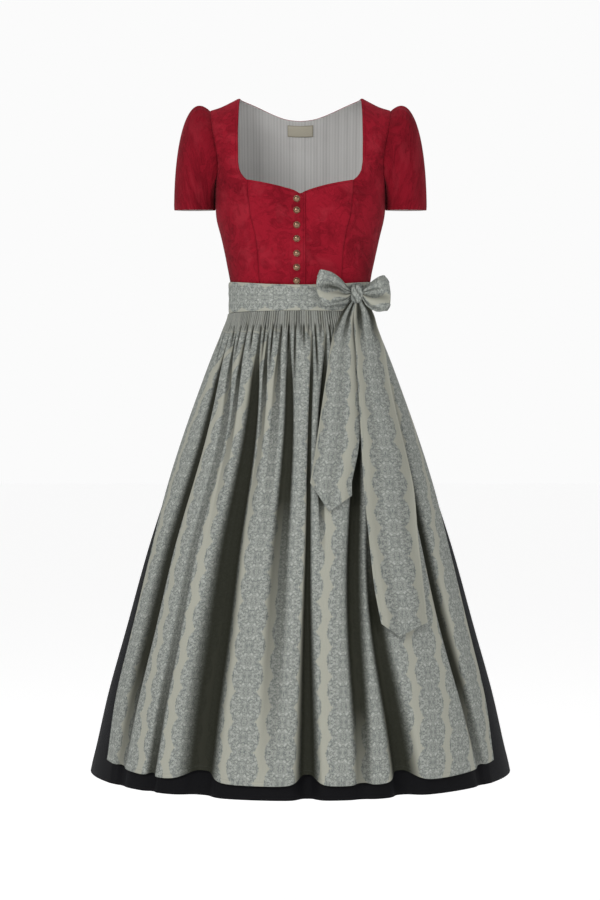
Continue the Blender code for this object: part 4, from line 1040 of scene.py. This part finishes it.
# The skirt and the apron
def folds_at(turn, height, folds, shade=False):
    """How far the cloth goes in at a turn, in degrees, and a height; with shade, how much painted shade it gets there
    instead.
    """
    half, front = (read(SKIRT_SECTIONS, height, k) for k in (1, 2))
    total = np.zeros(np.broadcast(turn, height).shape)
    started = ease((-0.470 - height) / 0.09)
    soft = 0.45 + 0.55 * ease((-0.62 - height) / 0.5)
    for turns, widths, depths in folds:
        centre, width, depth = (smooth_at(height, FOLD_LEVELS, values) for values in (turns, widths, depths))
        width, depth = width / 1000, np.maximum(depth / 1000, 0)
        off = np.abs(np.radians(turn - centre) * (half + front) / 2 / width)
        if shade:
            dark = np.clip(depth / (0.95 * width), 0, 1) * (0.85 + 0.15 * started)
            total = np.maximum(total, dark * (1 - ease((off / (0.50 + 0.50 * started) - 0.72) / soft + 0.1)))
        else:
            total = total + depth * ease((-0.425 - height) / 0.035) / (1 + off**3.6)
    return total


def all_folds(turn, height, shade=False):
    wrapped = (turn + 180) % 360 - 180
    return folds_at(wrapped, height, FRONT_FOLDS, shade) + folds_at(turn % 360, height, BACK_FOLDS, shade)


def skirt_point(turn, height, out=0.0):
    """Points of the skirt's outer face, turns in degrees from the middle front."""
    turn, height = np.broadcast_arrays(np.asarray(turn, float), np.asarray(height, float))
    half, front, back = (read(SKIRT_SECTIONS, height, k) for k in (1, 2, 3))
    angle = np.radians(turn)
    deep = np.where(np.cos(angle) > 0, front, back)
    nx, ny = np.sin(angle) / half, -np.cos(angle) / deep
    move = (out - all_folds(turn, height)) / np.hypot(nx, ny)
    return np.stack([half * np.sin(angle) + nx * move, -deep * np.cos(angle) + ny * move, height], axis=-1)


def anchored_turns(height, low, high, folds, counts, fine):
    """Turns of the columns for each height, with one column along the middle of each fold."""
    anchors = [low] + [smooth_at(height, FOLD_LEVELS, fold[0]) for fold in folds] + [high]
    turns = [anchors[0]]
    for a, b, count in zip(anchors, anchors[1:], counts):
        turns.extend(a + (b - a) * k / (count * fine) for k in range(1, count * fine + 1))
    return np.stack(turns, axis=1)


def front_turns(height, fine):
    edge = read(APRON_EDGE, height)
    return anchored_turns(height, -edge, edge, FRONT_FOLDS, FRONT_COLUMNS, fine)


def hem_lift(turn, height):
    """How much a level of the cloth rises to the apron's corners and in its folds."""
    edge = read(APRON_EDGE, height)
    low = ease((-0.95 - height) / 0.35)
    share = np.clip(np.abs(turn) / edge, 0, 1)
    beside = ease((90 - np.abs(turn)) / (90.001 - edge))
    return (FOLD_LIFT * folds_at(turn, height, FRONT_FOLDS) + CORNER_LIFT * share**4) * low * beside


class DIRNDL_OT_skirt(Operator):
    """Hang the two breadths of the black skirt"""

    bl_idname = "dirndl.skirt"
    bl_label = "Skirt"

    def execute(self, context):
        settings = context.scene.dirndl.skirt
        height = np.concatenate([np.linspace(SKIRT_TOP, -0.50, 26), np.linspace(-0.50, SKIRT_HEM, 60)[1:]])
        inner = front_turns(height, 4)
        beside = np.linspace(0, 1, 7)[None, :-1]
        left, right = (side * 90 * (1 - beside) + inner[:, at, None] * beside for side, at in ((-1, 0), (1, -1)))
        turn = np.concatenate([left, inner, right[:, ::-1]], axis=1)
        high = height[:, None]
        level = high + hem_lift(turn, high)
        under = ease((read(APRON_EDGE, high) - 1.5 - np.abs(turn)) / 3.0)
        grid = skirt_point(turn, level, -under * (UNDER_APRON + UNDER_SHIRRING * ease((level + 0.64) / 0.12)))
        # the stiffer hem evens its folds out
        low = ease((-1.28 - high) / 0.05)
        level = level * (1 - low) + high * low
        _, half, front, _ = SKIRT_SECTIONS[0]
        plain = np.stack([half * np.sin(np.radians(turn)), -front * np.cos(np.radians(turn)), level], axis=-1)
        grid[..., 2] = level
        share = STIFF_HEM * low[..., None]
        self.sew("skirt_front", grid * (1 - share) + plain * share, level, settings)

        turn = anchored_turns(height, 90 + 0 * height, 270 + 0 * height, BACK_FOLDS, BACK_COLUMNS, 7)
        count = np.linspace(0, 46, turn.shape[1])
        pleat = np.cos(2 * math.pi * (count + 0.18 * np.sin(count * 1.9))) * (1 + 0.3 * np.sin(count * 0.77))
        pleat = pleat * 0.0016 * ease((high + 0.53) / 0.09) * ease((-0.3875 - high) / 0.01)
        pleat = pleat * np.clip(np.sin(np.radians(turn - 90)), 0, 1) ** 0.25
        self.sew("skirt_back", skirt_point(turn, high, pleat), high + 0 * turn, settings)
        return {"FINISHED"}

    def sew(self, name, grid, level, settings):
        outward = facing(grid, grid * (1, 1, 0))
        run = run_along(grid, 1)[-1]
        piece = wall(name + "_wool", grid, settings.wall, -outward, pair(run - run[-1] / 2, level),
                     finished(black_wool, settings), edge=level - SKIRT_HEM)
        dress(piece, name, dict(flat=(1.45, 0.95), area=0.86, held="gathered",
                                               rests_on=["apron_band_jacquard"]))


class DIRNDL_OT_apron(Operator):
    """Gather the apron on its shirring and let it fall in folds over the skirt"""

    bl_idname = "dirndl.apron"
    bl_label = "Apron"

    def execute(self, context):
        settings = context.scene.dirndl.apron
        height = np.concatenate([
            np.linspace(APRON_TOP, SHIRRING_BOTTOM, 8), np.linspace(SHIRRING_BOTTOM, -0.475, 10)[1:],
            np.linspace(-0.475, -0.56, 16)[1:], np.linspace(-0.56, APRON_HEM, 51)[1:],
        ])
        high, fine = height[:, None], 10
        turn = front_turns(height, fine)
        level = high + hem_lift(turn, high)
        level = level + APRON_FOLD_LIFT * folds_at(turn, high, FRONT_FOLDS) * ease((-1.16 - high) / 0.14)
        fade = ease((high + 0.466) / 0.018)
        count = (turn[0] - turn[0, 0]) / (turn[0, -1] - turn[0, 0]) * settings.gathers
        uneven = 1 + 0.35 * np.sin(count * 1.37) + 0.2 * np.sin(count * 0.53 + 2)
        gather = np.cos(2 * math.pi * count) * uneven * fade
        out = settings.off_skirt - 0.001 * fade + settings.gather_deep * gather
        darts = self.darts(turn, high)
        grid = skirt_point(turn, level, out - darts)
        outward = facing(grid, grid * (1, 1, 0))
        run = run_along(grid, 1)
        middle = turn.shape[1] // 2
        hem_run = run[-1] - run[-1, middle]
        here = run - run[:, middle, None]
        # cloth that the folds swallow is left out of the pattern at their deepest column
        anchors = np.cumsum(FRONT_COLUMNS) * fine
        depth_at = np.stack([np.interp(height, FOLD_LEVELS, fold[2]) ** 1.5 + 0.5 for fold in FRONT_FOLDS], axis=1)
        missing = (hem_run[-1] - hem_run[0]) - (here[:, -1] - here[:, 0])
        share = depth_at / depth_at.sum(axis=1, keepdims=True) * missing[:, None]
        swallowed = np.zeros_like(here)
        for k in range(len(FRONT_FOLDS)):
            swallowed[:, anchors[k]:] += share[:, k, None]
        natural = here + swallowed - swallowed[:, middle, None]
        u = natural * (1 - 0.7 * fade) + hem_run * 0.7 * fade
        # deep is painted shade: in the valleys of the folds, the short darts and the fine gathers
        deep = all_folds(turn, level, shade=True) * ease((-0.452 - high) / 0.02)
        deep = np.maximum(deep, np.clip(darts / 0.0032, 0, 1))
        deep = np.maximum(deep, np.clip(-0.15 - gather, 0, 1) * 0.85)
        edge = np.minimum(np.minimum(run, run[:, -1:] - run), level - level[-1:])
        piece = wall("apron_jacquard", grid, settings.wall, -outward, pair(u + settings.stripe * 0.42, level),
                     finished(sage_jacquard, settings), fold=deep, edge=edge, gather=fade)
        dress(piece, "apron", dict(flat=(1.22, 0.90), area=0.80, held="gathered",
                                                  rests_on=["apron_band_jacquard", "skirt_front_wool"]))
        return {"FINISHED"}

    def darts(self, turn, high):
        """How far the short darts go in."""
        total = 0
        spread = read(APRON_EDGE, high) / APRON_EDGE[-1, 1]
        radius = 0.13 + 0.36 * np.clip(SHIRRING_BOTTOM - high, 0, 1)
        for at, depth, length in TOP_DARTS:
            below = (SHIRRING_BOTTOM - high) / (length / 1000)
            strength = ease((below + 0.08) / 0.12) * (1 - ease((below - 0.2) / 0.8))
            lean = np.clip(below, 0, 1)
            off = np.radians(turn - at * spread * (1 - 0.10 * lean)) * radius / (0.0014 + 0.0018 * lean)
            total = total + depth / 1000 * strength * hump(off)
        return total


class DIRNDL_OT_band(Operator):
    """Wind the apron's waistband and ties round the waist"""

    bl_idname = "dirndl.band"
    bl_label = "Waistband"

    def execute(self, context):
        settings = context.scene.dirndl.apron
        turn = np.linspace(0, 2 * math.pi, 360, endpoint=False)[None, :]
        share = np.linspace(0, 1, 26)[:, None]
        across, ahead = np.sin(turn), np.cos(turn)
        front = np.clip(ahead, 0, None) ** 2
        high = (BAND_TOP - BAND_DIP * front) * share + (BAND_BOTTOM - BAND_LOW_DIP * front) * (1 - share)
        # creases run round and gather towards the knot
        near = hump((turn - math.radians(52)) / 0.75)
        ripple = np.sin(share * 2 * math.pi * 3.2 + 0.8 * np.sin(turn * 3) + 0.5 * np.sin(turn * 7))
        crease = 0.0011 * ripple * (0.28 + 0.72 * near) + 0.0005 * unrest(turn * 0.125, share * 0.06, 0.03, 5.0)
        bulge = -0.0004 + crease * np.sin(share * math.pi) ** 0.5 - 0.0006 * np.abs(share * 2 - 1) ** 8
        power = 2 / 2.1
        x = (BAND_HALF_WIDTH + bulge) * np.sign(across) * np.abs(across) ** power
        y = -(np.where(ahead > 0, BAND_FRONT, BAND_BACK) + bulge) * np.sign(ahead) * np.abs(ahead) ** power
        grid = np.stack([x, y, high], axis=-1)
        u = (share - 0.5) * (BAND_TOP - BAND_BOTTOM) + settings.stripe * 0.5
        # the stored fold value is painted shade in the creases' hollows, most near the knot
        piece = wall("apron_band_jacquard", grid, BAND_WALL, -unit(grid * (1, 1, 0)),
                     pair(u, np.linspace(0, 0.79, turn.size + 1)), finished(sage_jacquard, settings), around=True,
                     fold=np.clip(-ripple, 0, 1) ** 2 * 0.35 * (0.15 + 0.85 * near),
                     edge=np.minimum(share, 1 - share) * 0.1368)
        dress(piece, "apron_band", dict(flat=(0.80, 0.060), held="stretched",
                                                       rests_on=["back_velvet", "front_side_left_velvet"]))
        return {"FINISHED"}


def envelope_y(x, height, out):
    """Depth of the front face over the folds."""
    half, front = (read(SKIRT_SECTIONS, height, k) for k in (1, 2))
    return -(front + out) * np.sqrt(np.clip(1 - (x / (half + out)) ** 2, 0, 1))


class DIRNDL_OT_bow(Operator):
    """Tie the bow: a knot, two loops and two tails"""

    bl_idname = "dirndl.bow"
    bl_label = "Bow"

    def execute(self, context):
        settings = context.scene.dirndl.apron
        cloth = finished(sage_jacquard, settings)
        self.knot(settings, cloth)
        for name, shape in LOOPS.items():
            self.loop(name, cloth, **shape)
        for name, sizes in TAILS.items():
            self.tail(name, settings, cloth, **sizes)
        return {"FINISHED"}

    def knot(self, settings, cloth):
        """A wrapped knot: a closed lump with creases that run round it."""
        rows, columns = 41, 72
        lat = np.linspace(-0.5, 0.5, rows)[:, None] * math.pi * 0.985
        lon = np.linspace(0, 2 * math.pi, columns, endpoint=False)[None, :]
        way = np.stack([np.cos(lat) * np.cos(lon), np.cos(lat) * np.sin(lon), np.sin(lat) + 0 * lon], axis=-1)
        boxy = way / (np.abs(way) ** 2.9).sum(axis=-1, keepdims=True) ** (1 / 2.9)
        wraps = np.abs(np.sin(2.5 * lon + 1.7 * lat + 0.5 * np.sin(lat * 3)))
        crease = 1.0 - 0.15 * (1 - wraps) ** 2 * np.cos(lat) - 0.03 * np.cos(lon * 2 + 1.0)
        across = np.linspace(0, 0.045, rows)[:, None] + settings.stripe * 0.35
        # the stored fold value is painted shade in the hollows between the wraps
        piece = wall("bow_knot_jacquard", KNOT + boxy * KNOT_R * crease[..., None], BOW_WALL, -way,
                     pair(across, np.linspace(0, 0.08, columns + 1)), cloth, around=True,
                     fold=np.clip(1.1 * (1 - wraps) ** 3, 0, 1) * 0.8)
        dress(piece, "bow_knot", dict(flat=(0.075, 0.045), area=0.0026, held="folded",
                                                     rests_on=["apron_band_jacquard"]))

    def loop(self, name, cloth, depth, swell, crease, top, bottom, tip):
        """One loop: a band that leaves the knot, turns at the tip and comes back behind."""
        turn = np.linspace(-0.9 * math.pi, 0.9 * math.pi, 141)[None, :]
        share = np.linspace(0, 1, 61)[:, None]
        out = (1 + np.cos(turn)) / 2
        out = (out - out[0, 0]) / (1 - out[0, 0])
        top, bottom, tip = np.array(top), np.array(bottom), np.array(tip)
        in_front = ease(0.5 + np.sin(turn) * 2)
        # the strand behind is a little narrower
        up = 0.5 + (share - 0.5) * (1 - 0.07 * (1 - in_front))

        def along(table, place):
            return np.stack([read(table, place, k) for k in (1, 2)], axis=-1)

        # a patch between the four edges of the face
        s, t = up[..., None], out[..., None]
        face = (1 - s) * along(bottom, out) + s * along(top, out)
        face = face + t * (along(tip, up) - (1 - s) * bottom[-1, 1:] - s * top[-1, 1:])
        # pleats fan out from the knot and a hollow runs to the tip
        fan = np.cos(2 * math.pi * (share * 3.4 + 0.12 + 0.10 * np.sin(share * 9)))
        pleats = 0.0019 * fan * (1 - out) ** 0.7 * (0.3 + 0.7 * np.clip(out * 5, 0, 1))
        place, hollow = crease
        dip = hump((share - place - 0.05 * np.sin(out * 4)) / 0.085)
        dip = dip * np.sin(math.pi * np.clip((out - 0.05) / 0.93, 0, 1)) ** 0.7 * in_front
        side = np.sin(turn) * swell * (0.60 + 0.40 * out)
        edge_fall = 0.0030 * np.abs(2 * share - 1) ** 3 * out
        y = KNOT[1] + out * depth - side - np.sign(side) * (pleats - edge_fall) + hollow * dip
        grid = np.stack([face[..., 0], y, face[..., 1]], axis=-1)
        outward = facing(grid, side[..., None] * (0, -1, 0))
        # deep is painted shade: in the pleats' hollows near the knot, along the hollow to the tip and over the strand
        # behind
        deep = np.clip((1 - out) * 1.1, 0, 1) * np.clip(-fan, 0, 1) ** 0.8 * 0.75
        deep = np.maximum(deep, 0.85 * dip * min(1.0, hollow / 0.005)) + 0.3 * (1 - in_front)
        edge = np.minimum(share, 1 - share) * 0.105 * (0.3 + 0.7 * out)
        run = run_along(grid, 1)[len(share) // 2]
        piece = wall(name + "_jacquard", grid, BOW_WALL, -outward, pair(share * 0.074 - 0.024, run), cloth,
                     fold=np.clip(deep, 0, 1), edge=edge)
        long = math.hypot(tip[0, 1] - KNOT[0], depth)
        dress(piece, name, dict(flat=(round(long * 1.5, 3), 0.084), held="folded",
                                               rests_on=["bow_knot_jacquard"]))

    def tail(self, name, settings, cloth, off, point, ridges, phase, plain, slant, rows):
        """A tail that hangs over the apron and ends in a point."""
        share, steps = np.linspace(0, 1, 61), 16
        start, (end, first, last) = rows[0, 0], rows[-1]
        height = np.concatenate([np.linspace(start, -0.47, 24), np.linspace(-0.47, end, 50)[1:]])[:, None]
        left, right = (read(rows[::-1], height, k) for k in (1, 2))
        x = left + (right - left) * share
        to_point = np.interp(x[-1], [first, point[0], last], [0.0, 1.0, slant]) * (point[1] - end)
        fall = np.linspace(0, 1, steps + 1)[1:, None] * (to_point - 0.0005)
        height = np.concatenate([height + 0 * share, end + fall])
        x, wide = (np.concatenate([k, np.repeat(k[-1:], steps, axis=0)]) for k in (x, right - left))
        narrow = ease((height + 0.50) / 0.08)
        wave = np.cos(2 * math.pi * ridges * share + phase + 0.5 * np.sin(height * 21))
        ripple = 0.0042 * wave * (0.32 + 0.68 * narrow) * np.minimum(1, wide / 0.034) ** 2
        ripple = ripple + 0.0006 * unrest(x, height, 0.07, 3.0)
        below_knot = ease((height + 0.46) / 0.058)
        y = envelope_y(x, height, settings.off_skirt + off) * (1 - below_knot) + KNOT[1] * below_knot - ripple
        y = np.minimum(y, envelope_y(x, height, settings.off_skirt + 0.0055))
        grid = np.stack([x, y, height], axis=-1)
        side = np.minimum(share, 1 - share) * wide
        edge = np.minimum(side, np.abs(height - height[-1:]) + 0.0005) * 1.6
        # deep is painted shade in the valleys between the ridges, strongest near the knot
        deep = (0.16 + 0.80 * narrow) * np.clip(0.15 + 0.15 * narrow - wave, 0, 1) ** 0.8
        piece = wall(name + "_jacquard", grid, TAIL_WALL, -facing(grid, (0, -1, 0)),
                     pair((share - plain) * TAIL_PATTERN_WIDE, height), cloth, fold=deep, edge=edge)
        long = start - point[1]
        dress(piece, name, dict(flat=(0.092, round(long * 1.06, 3)), area=round(0.075 * long, 4),
                                               held="hung", rests_on=["bow_knot_jacquard"]))


class DIRNDL_OT_stage(Operator):
    """Set the floor, the backdrop, the camera and soft studio lights"""

    bl_idname = "dirndl.stage"
    bl_label = "Stage"

    def execute(self, context):
        settings, scene = context.scene.dirndl.stage, context.scene
        scene.view_settings.view_transform = "Standard"
        data = bpy.data.cameras.new("camera")
        data.lens, data.sensor_width, data.clip_end = settings.lens, 36.0, 200
        camera = bpy.data.objects.new("camera", data)
        camera.location = (CAMERA_X, -settings.camera_away, settings.camera_level)
        camera.rotation_euler = (math.pi / 2, 0, 0)
        scene.collection.objects.link(camera)
        scene.camera = camera

        wide, level = 60, FLOOR_LEVEL
        corners = np.array([(x, y, level) for y in (-wide, wide) for x in (-wide, wide)])
        floor = mesh_object("floor", corners, [(0, 1, 3, 2)])
        floor.data.materials.append(finished(pale_floor))

        # white behind the dress and dimmer all round, so that the lamps shape it
        world = bpy.data.worlds.new("studio")
        world.use_nodes = True
        sky = Nodes(world.node_tree)
        x, y, z = sky.apart(sky.wire("ShaderNodeTexCoord", output="Generated"))
        off_axis = sky.most(y * -1, abs(x), abs(z))
        backdrop = world.node_tree.nodes["Background"]
        sky.put(backdrop.inputs[0], sky.step(off_axis, 0.24, 0.50, 0.965, settings.ambient))
        backdrop.inputs[1].default_value = 1.0
        scene.world = world
        # place, size, power, aim height
        for name, place, size, power, aim in (
            ("key", (-1.7, -3.5, 1.1), 1.8, 90.0, -0.6),
            ("fill", (2.4, -3.2, 0.2), 2.2, 30.0, -0.7),
            ("top", (0.0, 0.6, 2.6), 2.0, 22.0, -0.4),
        ):
            lamp = bpy.data.lights.new(name, "AREA")
            lamp.size, lamp.energy = size, power
            light = bpy.data.objects.new(name, lamp)
            light.location = place
            x, y, z = np.array((0, 0, aim)) - place
            light.rotation_euler = (math.atan2(math.hypot(x, y), -z), 0, math.atan2(y, x) - math.pi / 2)
            scene.collection.objects.link(light)
        return {"FINISHED"}


class DIRNDL_PT_panel(Panel):
    """The dirndl's pieces and their sizes"""

    bl_idname = "DIRNDL_PT_panel"
    bl_label = "Dirndl"
    bl_space_type = "VIEW_3D"
    bl_region_type = "UI"
    bl_category = "Dirndl"

    def draw(self, context):
        settings = context.scene.dirndl
        groups = (
            (settings.bodice, (DIRNDL_OT_bodice, DIRNDL_OT_lining)),
            (settings.sleeve, (DIRNDL_OT_sleeves,)),
            (settings.button, (DIRNDL_OT_buttons,)),
            (settings.skirt, (DIRNDL_OT_skirt,)),
            (settings.apron, (DIRNDL_OT_apron, DIRNDL_OT_band, DIRNDL_OT_bow)),
            (settings.stage, (DIRNDL_OT_stage,)),
        )
        for group, operators in groups:
            box = self.layout.box()
            for operator in operators:
                box.operator(operator.bl_idname)
            for name in group.__annotations__:
                box.prop(group, name)


OPERATORS = (DIRNDL_OT_bodice, DIRNDL_OT_lining, DIRNDL_OT_sleeves, DIRNDL_OT_buttons, DIRNDL_OT_skirt,
             DIRNDL_OT_apron, DIRNDL_OT_band, DIRNDL_OT_bow, DIRNDL_OT_stage)
CLASSES = (BodiceSettings, SleeveSettings, ButtonSettings, SkirtSettings, ApronSettings, StageSettings,
           DirndlSettings, *OPERATORS, DIRNDL_PT_panel)


def register():
    for kind in CLASSES:
        bpy.utils.register_class(kind)
    bpy.types.Scene.dirndl = PointerProperty(type=DirndlSettings)


def unregister():
    del bpy.types.Scene.dirndl
    for kind in reversed(CLASSES):
        bpy.utils.unregister_class(kind)


def main():
    register()
    bpy.ops.dirndl.bodice()
    bpy.ops.dirndl.lining()
    bpy.ops.dirndl.sleeves()
    bpy.ops.dirndl.buttons()
    bpy.ops.dirndl.skirt()
    bpy.ops.dirndl.apron()
    bpy.ops.dirndl.band()
    bpy.ops.dirndl.bow()
    bpy.ops.dirndl.stage()


if __name__ == "__main__":
    main()
